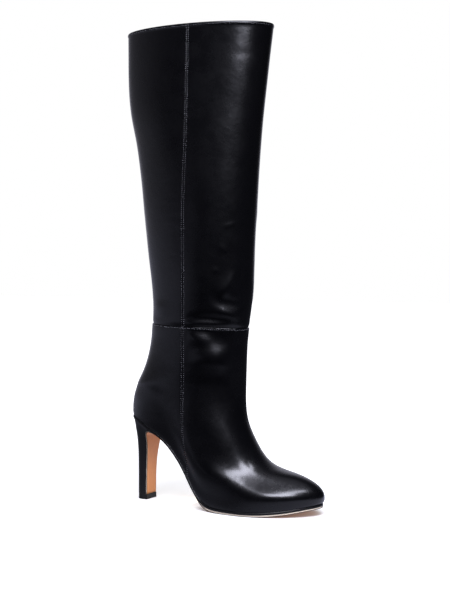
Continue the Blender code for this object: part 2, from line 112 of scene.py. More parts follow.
def new_material(name, colour, roughness, **constants):
    """A material, its tree, its shader with constants set, and the piece's own coordinates."""
    material = bpy.data.materials.new(name)
    material.use_nodes = True
    tree = material.node_tree
    shader = tree.nodes["Principled BSDF"]
    shader.inputs["Base Color"].default_value = hex_colour(colour)
    shader.inputs["Roughness"].default_value = roughness
    for socket, value in constants.items():
        shader.inputs[socket.replace("_", " ")].default_value = value
    return material, tree, shader, add_node(tree, "ShaderNodeTexCoord").outputs["Object"]


def patterned(tree, shader, pattern, tones=None, gloss=None, relief=None):
    """Let a pattern drive the shader's colour, roughness or bumps, whichever are given."""
    if tones:
        tone = add_node(tree, "ShaderNodeMix", {0: pattern, 6: hex_colour(tones[0]),
                                                7: hex_colour(tones[1])}, data_type="RGBA")
        tree.links.new(tone.outputs[2], shader.inputs["Base Color"])
    if gloss:
        names = ("From Min", "From Max", "To Min", "To Max")
        spread = add_node(tree, "ShaderNodeMapRange", {"Value": pattern, **dict(zip(names, gloss))})
        tree.links.new(spread.outputs["Result"], shader.inputs["Roughness"])
    if relief:
        bump = add_node(tree, "ShaderNodeBump", {"Height": pattern, "Strength": relief[0],
                                                 "Distance": relief[1]})
        tree.links.new(bump.outputs["Normal"], shader.inputs["Normal"])


print("white paper is", [round(v, 3) for v in hex_colour("#f4f4f4")])

# %% [markdown]
# ## The shape of the leather
# A boot is made on a last, a solid foot and leg, and its leather takes the last's shape. The last
# is described here as a cordwainer measures it: level loops from the sole's edge to the collar,
# each with the place of its back and front and a few half-widths. Smooth curves through these
# short tables give a point of the leather for any turn round the leg and any level, so that one
# function shapes every panel, lining, seam and row of stitches.

# %% Sizes of the last
FOOT_LENGTH = 220 * MM
BALL_WIDTH = 80 * MM
HEEL_HEIGHT = 91 * MM
INSTEP_HEIGHT = 125.5 * MM
COLLAR_HEIGHT = 494.4 * MM
GAP = 0.3 * MM               # room between one piece and the next

# back and front are in percent of the foot's length; back_up and front_up in percent of the
# heel's and the instep's height on the foot, and of the collar's on the shaft; drop says how much
# of the arch's dip a loop takes; widths are in percent of half the ball's width
Section = namedtuple("Section", "name level back back_up front front_up drop widths")
WIDTH_STATIONS = (0.0, 0.12, 0.30, 0.50, 0.70, 0.86, 1.0)
FOOT_SECTIONS = (
    Section("sole_edge", 0.0, -6.0, 100.0, 92.7, 9.2, 1.00, (108, 91, 70, 83, 109, 112, 100)),
    Section("bulge", 0.35, -6.5, 103.3, 93.7, 12.4, 0.97, (106, 96, 74, 85, 109, 115, 104)),
    Section("toe_crown", 0.7, -6.6, 108.2, 92.2, 20.4, 0.92, (105, 98, 77, 86, 108, 118, 106)),
    Section("toe_box", 1.1, -6.3, 114.8, 82.8, 29.7, 0.86, (103, 98, 80, 90, 102, 101, 105)),
    Section("vamp", 1.6, -5.4, 124.2, 67.6, 37.2, 0.72, (100, 96, 82, 88, 100, 104, 116)),
    Section("instep", 2.1, -4.2, 131.9, 58.7, 55.6, 0.45, (96, 94, 84, 86, 91, 101, 114)),
    Section("waist", 2.6, -3.0, 139.0, 54.6, 75.7, 0.20, (95, 94, 86, 87, 86, 89, 91)),
    Section("ankle", 3.1, -1.8, 144.0, 54.0, 100.0, 0.00, (95, 95, 90, 89, 86, 84, 82)),
)
SHAFT_SECTIONS = (
    Section("ankle_top", 3.6, 2.3, 30.3, 54.2, 29.5, 0.0, (95, 94, 90, 89, 86, 83, 81)),
    Section("seam", 4.35, 5.7, 38.0, 55.1, 37.2, 0.0, (95, 95, 92, 91, 90, 88, 87)),
    Section("low_shaft", 5.2, 5.8, 44.5, 57.2, 44.5, 0.0, (98, 98, 98, 97, 95, 94, 93)),
    Section("calf_base", 6.2, 3.6, 52.6, 58.0, 52.6, 0.0, (102, 102, 102, 102, 100, 98, 96)),
    Section("calf", 7.4, 0.5, 64.7, 59.6, 64.7, 0.0, (107, 107, 107, 106, 104, 101, 100)),
    Section("upper_calf", 8.4, -3.4, 76.9, 61.7, 76.9, 0.0, (110, 110, 110, 108, 105, 102, 101)),
    Section("below_collar", 9.2, -7.5, 86.0, 64.1, 86.0, 0.0, (109, 109, 109, 107, 105, 102, 101)),
    Section("collar", 10.0, -8.5, 100.0, 68.2, 99.9, 0.0, (103, 103, 103, 103, 103, 103, 103)),
)
SEAM_LEVEL = 4.35
COLLAR_LEVEL = 10.0
# the sole's edge: x and height, in percent of the foot's length and of the heel's height
SOLE_PROFILE = (
    (-9.0, 102.0), (-6.0, 100.0), (0.0, 95.6), (7.0, 88.0), (13.6, 80.2), (19.1, 70.9),
    (23.6, 59.9), (27.3, 49.4), (30.5, 38.5), (33.6, 27.2), (37.3, 16.0), (41.8, 8.2),
    (47.3, 5.2), (54.5, 4.7), (63.6, 4.6), (72.7, 5.5), (81.8, 7.9), (88.6, 10.8),
    (92.7, 12.6), (95.0, 13.7),
)
# the middle of the foot: x and y, in percent of the foot's length
MIDLINE = (
    (-7.3, 0.0), (13.6, -0.2), (27.3, -0.9), (40.9, -1.5), (54.5, -0.9), (68.2, 0.3),
    (81.8, 1.3), (93.6, 2.2),
)
# the side seam: height and x, in percent of the collar's height and of the foot's length
SIDE_SEAM = (
    (6.0, 31.2), (11.3, 31.3), (14.6, 30.5), (22.3, 29.7), (30.3, 30.0), (37.2, 30.2),
    (43.5, 31.0), (60.0, 31.8), (75.0, 33.3), (89.0, 34.1), (100.0, 34.4),
)
print(len(FOOT_SECTIONS) + len(SHAFT_SECTIONS), "loops on the last")

# %% Smooth curves through the tables
def spline(knots, values, at):
    """Natural cubic spline through values (one row a knot), read at an array of places."""
    knots = np.asarray(knots, float)
    values = np.asarray(values, float)
    at = np.clip(np.asarray(at, float), knots[0], knots[-1])
    count = len(knots)
    step = np.diff(knots)
    spread = (-1,) + (1,) * (values.ndim - 1)
    slope = np.diff(values, axis=0) / step.reshape(spread)
    matrix = np.eye(count)
    target = np.zeros_like(values)
    for i in range(1, count - 1):
        matrix[i, i - 1:i + 2] = step[i - 1], 2 * (step[i - 1] + step[i]), step[i]
        target[i] = 6 * (slope[i] - slope[i - 1])
    bend = np.linalg.solve(matrix, target.reshape(count, -1)).reshape(values.shape)
    i = np.clip(np.searchsorted(knots, at, side="right") - 1, 0, count - 2)
    shape = at.shape + (1,) * (values.ndim - 1)
    width = step[i].reshape(shape)
    right = (at - knots[i]).reshape(shape)
    left = width - right
    curve = (right**3 * bend[i + 1] + left**3 * bend[i]) / (6 * width)
    line = right / width * values[i + 1] + left / width * values[i]
    return curve + line - width / 6 * (right * bend[i + 1] + left * bend[i])


def section_rows():
    """Levels, and a row each of back x, back z, front x, front z, drop and half-widths."""
    levels, rows = [], []
    for sections, back_height, front_height in (
            (FOOT_SECTIONS, HEEL_HEIGHT, INSTEP_HEIGHT),
            (SHAFT_SECTIONS, COLLAR_HEIGHT, COLLAR_HEIGHT)):
        for s in sections:
            levels.append(s.level)
            rows.append([s.back * PERCENT * FOOT_LENGTH, s.back_up * PERCENT * back_height,
                         s.front * PERCENT * FOOT_LENGTH, s.front_up * PERCENT * front_height,
                         s.drop] + [w * PERCENT * BALL_WIDTH / 2 for w in s.widths])
    return np.array(levels), np.array(rows)


LEVELS, ROWS = section_rows()
SOLE_TABLE = np.array(SOLE_PROFILE) * PERCENT * (FOOT_LENGTH, HEEL_HEIGHT)
MIDDLE_TABLE = np.array(MIDLINE) * PERCENT * FOOT_LENGTH
SEAM_TABLE = np.array(SIDE_SEAM) * PERCENT * (COLLAR_HEIGHT, FOOT_LENGTH)
print(len(ROWS), "rows of", ROWS.shape[1], "sizes, for levels", LEVELS[0], "to", LEVELS[-1])

# %% A point of the leather
def sole_height(x):
    """Height of the sole's edge, where the leather starts, at x."""
    return spline(SOLE_TABLE[:, 0], SOLE_TABLE[:, 1], x)


def arch_dip(x):
    """How far the sole's edge lies below the straight line from its back to its toe."""
    back_x, back_z, front_x, front_z = ROWS[0, :4]
    return sole_height(x) - back_z - (front_z - back_z) * (x - back_x) / (front_x - back_x)


def leather_point(turn, level):
    """Point of the outer leather. Turn is 0 at the back, 0.25 on the outer side, 0.5 in front."""
    turn, level = np.broadcast_arrays(np.asarray(turn, float), np.asarray(level, float))
    row = spline(LEVELS, ROWS, level)
    back_x, back_z, front_x, front_z, drop = [row[..., k] for k in range(5)]
    angle = 2 * math.pi * turn
    share = (1 - np.cos(angle)) / 2
    weights = spline(WIDTH_STATIONS, np.eye(len(WIDTH_STATIONS)), share)
    width = (weights * row[..., 5:]).sum(-1)
    x = back_x + (front_x - back_x) * share
    z = back_z + (front_z - back_z) * share + drop * (arch_dip(x) - arch_dip(front_x) * share)
    middle = spline(MIDDLE_TABLE[:, 0], MIDDLE_TABLE[:, 1], x)
    y = middle * np.sqrt(np.clip(drop, 0, 1)) - width * np.sin(angle)
    return np.stack([x, y, z], -1)


def leather_frame(turn, level):
    """A point of the leather with its directions along the loop, up the boot and outward."""
    nudge = 0.002
    point = leather_point(turn, level)
    across = leather_point(turn + nudge, level) - leather_point(turn - nudge, level)
    upward = leather_point(turn, level + nudge) - leather_point(turn, level - nudge)
    outward = np.cross(across, upward)
    outward /= np.linalg.norm(outward, axis=-1, keepdims=True)
    across /= np.linalg.norm(across, axis=-1, keepdims=True)
    return point, across, np.cross(outward, across), outward


turns = np.arange(360) / 360
around = [np.linalg.norm(np.roll(loop, -1, axis=0) - loop, axis=-1).sum()
          for loop in (leather_point(turns, level) for level in LEVELS)]
print("round the ankle and the collar, mm:", round(around[7] / MM), round(around[-1] / MM))

# %% [markdown]
# ## Where the panels meet
# Four pieces of leather make this boot: front and back of the foot, and front and back of the
# shaft. They meet in a side seam on each side of the leg and in one seam round the ankle. On the
# inner side the seam opens for a zip. A seam is a line from the side view, so the turn at which
# each loop crosses it is found by halving.

# %% Seams
ZIP_TOP = 270 * MM
ZIP_BOTTOM = 64 * MM


def seam_turn(level, inner):
    """Turn at which the side seam crosses each level, on the inner or the outer side."""
    level = np.asarray(level, float)
    low, high = np.full(level.shape, 0.1), np.full(level.shape, 0.45)
    for _ in range(30):
        middle = (low + high) / 2
        point = leather_point(middle, level)
        past = point[..., 0] > spline(SEAM_TABLE[:, 0], SEAM_TABLE[:, 1], point[..., 2])
        low, high = np.where(past, low, middle), np.where(past, middle, high)
    return 1 - middle if inner else middle


KEY_LEVELS = np.linspace(0, COLLAR_LEVEL, 401)
KEY_INNER = seam_turn(KEY_LEVELS, inner=True)
KEY_OUTER = seam_turn(KEY_LEVELS, inner=False)
KEY_HEIGHTS = leather_point(KEY_INNER, KEY_LEVELS)[:, 2]
NUDGE = 0.01                 # of a turn or a level, to measure how much leather lies in one
ahead = leather_point(KEY_OUTER + NUDGE, KEY_LEVELS) - leather_point(KEY_OUTER - NUDGE, KEY_LEVELS)
KEY_RATES = np.linalg.norm(ahead, axis=-1) / (2 * NUDGE)      # metres for one whole turn


def keyed(level, values):
    """Value at any level of something that was measured at the key levels."""
    return np.interp(level, KEY_LEVELS, values)


def level_at(height):
    """Level at which the inner seam has this height."""
    return np.interp(height, KEY_HEIGHTS, KEY_LEVELS)


print("zip runs between levels", level_at([ZIP_BOTTOM, ZIP_TOP]).round(2))

# %% [markdown]
# ## Creases and soft places
# Worn-in leather folds above and below the ankle seam, where the foot bends. Each main crease is
# placed as a soft ridge or trough on a line, in degrees round the leg (0 is the back, 90
# the outer side, 180 the front) and in millimetres of height. Simulating a stiff leather tube
# gives folds in places of its own choosing, so lines in a table are the better tool here. Slow
# waves of a fraction of a millimetre keep the plain parts from looking like moulded plastic.

# %% Creases
Crease = namedtuple("Crease", "turn height end_turn end_height width lift sag", defaults=(0,))
CREASES = (
    # outer side and front, above the ankle seam: the fold that hangs over the instep
    Crease(114, 223, 174, 212, 7.5, -2.2, -6.5),
    Crease(114, 212, 174, 202, 7.5, 2.2, -6.5),
    # the roll of leather pressed up just above the seam
    Crease(84, 196.4, 158, 195.2, 4.4, -1.5),
    Crease(82, 190.3, 158, 189.2, 4.4, 1.4),
    # the slanting fold higher up
    Crease(156, 250, 125, 209, 5.5, 1.1),
    Crease(170, 255, 148, 229, 6.0, -0.9),
    # the stiff edge of the toe puff and the hollow behind it
    Crease(106, 19.9, 182, 21.1, 8.5, 1.3),
    Crease(108, 34, 176, 37, 9.0, -0.8),
    # the straighter front over the vamp and the hollow under it
    Crease(83, 87, 189, 87, 22.0, 2),
    Crease(94, 53, 156, 53, 10.0, -0.7),
    # the dome below the seam
    Crease(101, 182, 157, 174, 13.0, -2.9),
    Crease(95, 187, 132, 181, 6.0, -1.5),
    Crease(97, 158, 158, 150, 14.0, 3.6),
    Crease(93, 177, 130, 171, 6.5, 1.6),
    # back of the ankle
    Crease(31, 195.1, 81, 193.9, 4.5, -0.5),
    Crease(35, 206.1, 81, 204.9, 7.0, 0.7),
    # faint lines half-way up
    Crease(130, 288, 156, 294, 2.4, 0.32),
    Crease(129, 273, 139, 261, 3.0, 0.35),
    Crease(120, 246.3, 131, 243.7, 3.0, 0.3),
    # inner side: the long fold that falls from the seam to the front, and the ones under it
    Crease(264, 333, 188, 301, 9.0, 1.6, -10),
    Crease(255, 285, 209, 275, 6.0, -1.6),
    Crease(256, 272, 198, 250, 6.5, 1.5),
    Crease(265, 265, 199, 233, 7.0, -1.6),
    Crease(257, 226.3, 207, 223.7, 7.0, 1.8),
    Crease(239, 206.3, 213, 203.7, 7.0, 0.9),
    Crease(234, 161, 212, 155, 8.0, 1.4),
    # the groove under the collar's folded edge
    Crease(124, 462, 164, 462, 4.0, -0.2),
)
print(len(CREASES), "creases, the deepest", max(abs(c.lift) for c in CREASES), "mm")

# %% How far the creases lift the leather
WAVE_HEIGHT = 0.12 * MM


def crease_lift(turn, level, point):
    """How far the leather stands out at each place, from the table and the slow waves."""
    rate = keyed(level, KEY_RATES) / 360
    degrees = (turn % 1) * 360
    lift = np.zeros(np.shape(degrees))
    for c in CREASES:
        right = (degrees - c.turn) * rate
        up = point[..., 2] - c.height * MM
        run, rise = (c.end_turn - c.turn) * rate, (c.end_height - c.height) * MM
        share = np.clip((right * run + up * rise) / (run**2 + rise**2), 0, 1)
        bow = 4 * share * (1 - share) * c.sag * MM
        away = np.hypot(right - share * run, up - share * rise - bow)
        taper = (1 - (2 * share - 1)**2)**2
        lift += c.lift * MM * taper * np.exp(-(away / (c.width * MM))**2)
    # slow waves of unequal lengths, so that they never repeat, fading out over the tight foot
    x, y, z = [point[..., k] / MM for k in range(3)]
    waves = (np.sin(z / 19 + x / 27) * np.sin(x / 23 - y / 15 + 1.3)
             + 0.6 * np.sin(z / 11 + y / 13 + 0.4) * np.sin(z / 37 - x / 12))
    calm = np.clip((point[..., 2] - 90 * MM) / (80 * MM), 0, 1)
    return lift + WAVE_HEIGHT * waves * calm


print("slow waves between the creases, mm:", round(WAVE_HEIGHT / MM, 2))

# %% [markdown]
# ## Turning grids of points into pieces
# Every curved piece of this boot is a grid of points: rows up the boot, columns round it. A thin
# sheet is the same grid twice, once for the outer face and once for the inner one, closed along
# its edges. Writing such meshes from numbers keeps each edge exactly where the last puts it,
# which sculpting or subdividing a rough block would not.

# %% Grid helpers
def grid_quads(rows, columns, wrap_rows=False, wrap_columns=False):
    """Four-sided faces of a grid of points that is numbered row by row."""
    index = np.arange(rows * columns).reshape(rows, columns)
    if wrap_rows:
        index = np.concatenate([index, index[:1]])
    if wrap_columns:
        index = np.concatenate([index, index[:, :1]], axis=1)
    corners = [index[:-1, :-1], index[:-1, 1:], index[1:, 1:], index[1:, :-1]]
    return np.stack(corners, -1).reshape(-1, 4)


def mesh_piece(name, points, faces, caps=()):
    """Smooth mesh object. Caps are longer rows of point numbers that close an end."""
    mesh = bpy.data.meshes.new(name)
    mesh.from_pydata(np.asarray(points).reshape(-1, 3).tolist(), [],
                     [list(map(int, f)) for f in faces] + [list(map(int, c)) for c in caps])
    mesh.shade_smooth()
    return add_object(name, mesh)


def thin_sheet(name, outer, inner):
    """Closed sheet between two equal grids of points, the first of them on the outside."""
    rows, columns = outer.shape[:2]
    faces = [grid_quads(2 * rows, columns, wrap_rows=True)]
    low, high = np.arange(rows - 1), np.arange(1, rows)
    inner_low, inner_high = 2 * rows - 1 - low, 2 * rows - 1 - high
    first = np.stack([low, high, inner_high, inner_low], -1) * columns
    last = first[:, ::-1] + columns - 1
    faces += [first, last]
    return mesh_piece(name, np.concatenate([outer, inner[::-1]]), np.concatenate(faces))


print("a grid of 3 x 4 points has", len(grid_quads(3, 4)), "faces")

# %% Cleaning and finishing a piece
def clean(item):
    """Merge doubled points, drop empty faces and make every face point outwards."""
    bm = bmesh.new()
    bm.from_mesh(item.data)
    bmesh.ops.remove_doubles(bm, verts=bm.verts, dist=1e-6)
    bmesh.ops.dissolve_degenerate(bm, edges=bm.edges, dist=1e-7)
    bmesh.ops.recalc_face_normals(bm, faces=bm.faces)
    bm.to_mesh(item.data)
    bm.free()


def ring_piece(name, rings, depth=()):
    """Closed piece through equal rings of points. Depth is a value for each point of a ring."""
    rings = np.asarray(rings)
    rows, columns = rings.shape[:2]
    caps = (np.arange(columns)[::-1], np.arange(columns) + (rows - 1) * columns)
    item = mesh_piece(name, rings, grid_quads(rows, columns, wrap_columns=True), caps)
    if len(depth):
        values = item.data.attributes.new("depth", "FLOAT", "POINT")
        values.data.foreach_set("value", np.tile(depth, rows))
    clean(item)
    return item


def finish(item, material, slot, *nodes, body="boot"):
    """Give a piece its material and its body, and hide the CAD nodes it stands for; the slot is not
    used.
    """
    item.data.materials.clear()
    item.data.materials.append(material)
    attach(item, body)
    if nodes:
        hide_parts(*nodes)
    triangles = sum(len(f.vertices) - 2 for f in item.data.polygons)
    print(item.name, triangles, "triangles,", [round(v / MM, 1) for v in item.dimensions], "mm")


# %% [markdown]
# ## Black box calf
# The upper is calfskin: dyed through, then plated and polished, so that it is nearly black with a
# soft, slightly blurred shine and a grain too fine to see from a step away. It gives the eye
# broad highlights with soft rims, a touch of blue in the black, and small changes of gloss where
# the skin was handled. The dye lies in clouds about 36 mm wide, the gloss changes every 17 mm,
# and the skin's slow ripples are 9 mm wide. The pores of real calf are 0.1 to 0.2 mm wide. They
# are drawn 0.9 mm wide here, because finer ones would vanish in a view of the whole boot.

# %% Calf materials
def black_calf(name, roughness, deep, worn):
    """Polished black calf: two near-blacks in clouds, uneven gloss, pores and fine ripples."""
    material, tree, shader, place = new_material(
        name, deep, roughness, IOR=1.5, Coat_Weight=0.08, Coat_Roughness=0.12)
    clouds = add_node(tree, "ShaderNodeTexNoise", {"Vector": place, "Scale": 1 / (35.7 * MM),
                                                   "Detail": 4.0})
    patterned(tree, shader, clouds.outputs["Fac"], tones=(deep, worn))
    polish = add_node(tree, "ShaderNodeTexNoise", {"Vector": place, "Scale": 1 / (16.7 * MM),
                                                   "Detail": 5.0, "Roughness": 0.6})
    patterned(tree, shader, polish.outputs["Fac"],
              gloss=(0.25, 0.75, roughness - 0.035, roughness + 0.045))
    pores = add_node(tree, "ShaderNodeTexVoronoi", {"Vector": place, "Scale": 1 / (0.9 * MM)})
    ripple = add_node(tree, "ShaderNodeTexNoise", {"Vector": place, "Scale": 1 / (9 * MM),
                                                   "Detail": 2.0})
    fine = add_node(tree, "ShaderNodeBump", {"Height": pores.outputs["Distance"],
                                             "Strength": 0.35, "Distance": 0.02 * MM})
    slow = add_node(tree, "ShaderNodeBump", {"Height": ripple.outputs["Fac"], "Strength": 0.5,
                                             "Distance": 0.35 * MM, "Normal": fine.outputs[0]})
    tree.links.new(slow.outputs["Normal"], shader.inputs["Normal"])
    return material


foot_calf = black_calf("box_calf_polished_black", 0.26, "#030305", "#070709")
shaft_calf = black_calf("box_calf_soft_black", 0.27, "#030305", "#070709")
# the heel cover's paler blacks are painted light: a painted reflection of the paper and the wall on
# its left
heel_calf_painted_reflection = black_calf("box_calf_heel_cover_painted_reflection", 0.36, "#19191b", "#222223")
print("leather materials:", foot_calf.name, shaft_calf.name, heel_calf_painted_reflection.name)

# %% [markdown]
# ## Leather panels
# Each panel is 1.2 mm calf with its edge folded under, so its rim is a small quarter round. The
# panel lies between two side seams. Its columns sit close together near the seams, where the
# fold and the stitches are, and evenly in between. The creases and waves move it in or out.

# %% Sizes of the panels
LEATHER = 1.2 * MM
FOLD = 0.7 * MM              # radius of a folded edge
SEAM_ROOM = 0.05 * MM        # from the seam's middle to each panel
ZIP_ROOM = 0.6 * MM          # the same along the zip
ROW_SIDE = 1.25 * MM         # from the side seam to its rows of stitches
ZIP_ROW = 8.5 * MM           # from the zip to its rows of stitches
LIP_RISE = 0.42 * MM         # the collar's edge is folded over, so it stands out all round
LIP_MIDDLE = 2.0 * MM        # from the collar's top to the middle of that fold
LAP = 1.5 * MM               # the foot's edge stands this far over the ankle seam
TUCK = 4 * MM                # and the shaft runs this far under it
# where the rows lie beside an edge, and the columns beside a side seam
NEAR_EDGE = np.array([0, 0.1, 0.25, 0.45, 0.7, 1.1, 1.5, 2.0, 2.6, 3.2, 3.8, 4.6]) * MM
NEAR_SEAM = np.array([0, 0.1, 0.25, 0.45, 0.7, 0.95, 1.25, 1.6, 2.2, 3.2, 4.6, 6.2, 7.7, 8.5, 9.3,
                      10.6]) * MM


def smooth_step(value, low, high):
    """From 0 at low to 1 at high with a soft start and end."""
    share = np.clip((value - low) / (high - low), 0, 1)
    return share * share * (3 - 2 * share)


def seam_room(level):
    """Half of the gap between the panels on the inner side, wide along the zip."""
    height = keyed(level, KEY_HEIGHTS)
    along = (smooth_step(height, ZIP_BOTTOM - 2 * MM, ZIP_BOTTOM + 3 * MM)
             * smooth_step(-height, -ZIP_TOP - 2 * MM, -ZIP_TOP + 3 * MM))
    return SEAM_ROOM + (ZIP_ROOM - SEAM_ROOM) * along


print("half the gap at seam and zip, mm:", round(SEAM_ROOM / MM, 2), round(ZIP_ROOM / MM, 2))

# %% What moves the leather off the last
def stitch_dent(distance, row):
    """Stitches draw the leather down a little along their row."""
    return -0.16 * MM * np.exp(-((distance - row) / (0.55 * MM))**2)


def leather_lift(turn, level, point):
    """Everything that moves the leather off the last: creases, the lap, the zip and the rows."""
    lift = crease_lift(turn, level, point)
    rate, height = keyed(level, KEY_RATES), keyed(level, KEY_HEIGHTS)
    from_outer = np.abs(turn % 1 - keyed(level, KEY_OUTER)) * rate
    from_inner = np.abs(turn % 1 - keyed(level, KEY_INNER)) * rate
    by_zip = (smooth_step(height, ZIP_BOTTOM - 4 * MM, ZIP_BOTTOM + 4 * MM)
              * smooth_step(-height, -ZIP_TOP - 8 * MM, -ZIP_TOP - 2 * MM))
    # a seam holds the leather, so the creases fade towards it
    away = smooth_step(np.minimum(from_outer, from_inner), 1 * MM, 9 * MM)
    lift *= 0.25 + 0.75 * away
    lift += stitch_dent(from_outer, ROW_SIDE)
    lift += stitch_dent(from_inner, ROW_SIDE) * (1 - by_zip)
    lift += stitch_dent(from_inner, ZIP_ROW) * by_zip
    # both edges stand up a little over the zip behind them
    lift += 0.35 * MM * by_zip * (1 - smooth_step(from_inner, 1.5 * MM, ZIP_ROW))
    # the collar's folded edge, and the shallow groove of the row under it
    from_top = (COLLAR_LEVEL - level) * COLLAR_RATE
    lift += LIP_RISE * np.exp(-((from_top - LIP_MIDDLE) / (1.5 * MM))**2)
    lift -= 0.2 * LIP_RISE * np.exp(-((from_top - 4.4 * MM) / (0.9 * MM))**2)
    return lift


def up_rate(level, turn=0.3):
    """Metres of leather for one whole level."""
    step = leather_point(turn, level + NUDGE) - leather_point(turn, level - NUDGE)
    return np.linalg.norm(step) / (2 * NUDGE)


COLLAR_RATE = up_rate(COLLAR_LEVEL - 0.05)
print("one level at the collar, mm:", round(COLLAR_RATE / MM, 1))

# %% Rows and columns of a panel
def graded_levels(low, high, spacing):
    """Levels from low to high, close together where the edges fold."""
    start = low + NEAR_EDGE / up_rate(low + 0.02)
    end = high - NEAR_EDGE[::-1] / up_rate(high - 0.02)
    length = (end[0] - start[-1]) * (up_rate(low + 0.05) + up_rate(high - 0.05)) / 2
    middle = np.linspace(start[-1], end[0], max(int(length / spacing), 2) + 1)[1:-1]
    return np.concatenate([start, middle, end])


def panel_turns(level, part, columns):
    """Turns of one row of a panel, with the distances of its columns from both side seams."""
    rate, outer, inner = [keyed(level, v) for v in (KEY_RATES, KEY_OUTER, KEY_INNER)]
    if part == "front":
        start, end = outer + SEAM_ROOM / rate, inner - seam_room(level) / rate
    else:
        start, end = inner + seam_room(level) / rate, outer + 1 - SEAM_ROOM / rate
    left, right = start + NEAR_SEAM / rate, end - NEAR_SEAM[::-1] / rate
    middle = np.linspace(left[-1], right[0], columns + 2)[1:-1]
    row = np.concatenate([left, middle, right])
    return row, (row - start) * rate, (end - row) * rate


def panel_grids(levels, part, columns, sink):
    """Outer and inner face of a panel. Sink gives how far each level lies inside the last."""
    turns, lefts, rights = [np.array(v) for v in
                            zip(*(panel_turns(level, part, columns) for level in levels))]
    level = np.repeat(levels[:, None], turns.shape[1], axis=1)
    rates = np.array([up_rate(v) for v in levels])
    length = np.concatenate([[0], np.cumsum(np.diff(levels) * (rates[1:] + rates[:-1]) / 2)])
    below, above = length[:, None], (length[-1] - length)[:, None]
    edge = sum(np.clip(1 - d / FOLD, 0, 1)**2 for d in (lefts, rights, below, above))
    fold = FOLD * (1 - np.sqrt(1 - np.clip(edge, 0, 1)))
    point, _, _, outward = leather_frame(turns, level)
    lift = leather_lift(turns, level, point) - sink(levels)[:, None]
    outer = point + outward * (lift - fold)[..., None]
    inner = point + outward * (lift - LEATHER)[..., None]
    return outer, inner


print("levels of a panel one level high:", len(graded_levels(5.0, 6.0, 2.0 * MM)))

# %% Panels of the foot and the shaft
def foot_sink(levels):
    """The foot's top edge lies over the shaft's, so it stands out by 0.35 mm."""
    return -0.35 * MM * smooth_step(levels, SEAM_LEVEL - 0.30, SEAM_LEVEL - 0.06)


def shaft_sink(levels):
    """The shaft's lower edge goes in under the foot's."""
    return 0.95 * MM * (1 - smooth_step(levels, SEAM_LEVEL + 0.01, SEAM_LEVEL + 0.13))


ankle_rate = up_rate(SEAM_LEVEL)
foot_levels = graded_levels(0.0, SEAM_LEVEL + LAP / ankle_rate, 1.7 * MM)
shaft_levels = graded_levels(SEAM_LEVEL - TUCK / ankle_rate, COLLAR_LEVEL, 2.1 * MM)
for part, foot_columns, shaft_columns in (("front", 110, 84), ("back", 84, 74)):
    foot = panel_grids(foot_levels, part, foot_columns, foot_sink)
    finish(thin_sheet("foot_" + part, *foot), foot_calf, "foot_leather", "upper")
    shaft = panel_grids(shaft_levels, part, shaft_columns, shaft_sink)
    finish(thin_sheet("shaft_" + part, *shaft), shaft_calf, "shaft_leather", "shaft")

# %% [markdown]
# ## Lining
# Inside the calf lies a thin lining of goat leather, cut in one piece from one edge of the zip
# round to the other. It follows the outer leather, creases and all, so it is made from the same
# functions a little deeper. At the ankle it passes behind the shaft's tucked edge.

# %% Lining
LINING = 0.5 * MM
LINING_ROOM = 0.06 * MM      # between the calf and the lining
LINING_ZIP_ROOM = 2.4 * MM   # its edge stops this far from the zip's middle
LINING_ROWS, LINING_COLUMNS = 190, 170
# goat leather is dull, with a pebbled grain; its 0.5 mm pebbles are drawn 1.1 mm wide to show
goat, tree, shader, place = new_material("goat_lining_black", "#141314", 0.62, IOR=1.45)
pebbles = add_node(tree, "ShaderNodeTexVoronoi", {"Vector": place, "Scale": 1 / (1.1 * MM)})
patterned(tree, shader, pebbles.outputs["Distance"], tones=("#19181a", "#0e0e0f"),
          relief=(0.5, 0.08 * MM))

lining_levels = np.linspace(0.03, COLLAR_LEVEL - 0.012, LINING_ROWS)
inner_turns = keyed(lining_levels, KEY_INNER)
zip_rooms = LINING_ZIP_ROOM / keyed(lining_levels, KEY_RATES)
turns = np.linspace(inner_turns - 1 + zip_rooms, inner_turns - zip_rooms, LINING_COLUMNS, axis=1)
level = np.repeat(lining_levels[:, None], LINING_COLUMNS, axis=1)
point, _, _, outward = leather_frame(turns, level)
behind_tuck = np.exp(-((lining_levels - SEAM_LEVEL) / 0.16)**4) * 1.0 * MM
depth = LEATHER + LINING_ROOM + behind_tuck[:, None]
lift = (leather_lift(turns, level, point) - depth)[..., None]
lining = thin_sheet("goat_lining", point + outward * lift, point + outward * (lift - LINING))
finish(lining, goat, "lining")

# %% [markdown]
# ## Rows of stitches
# A stitch seen from a step away is a small bright dash that sinks a little into the leather. There
# are over a thousand of them, so Geometry Nodes lay one lozenge of a few dozen faces at even steps
# along each row. The rows are lines of points that also carry which way is outward, so that every
# lozenge lies flat on the leather and points along its row.

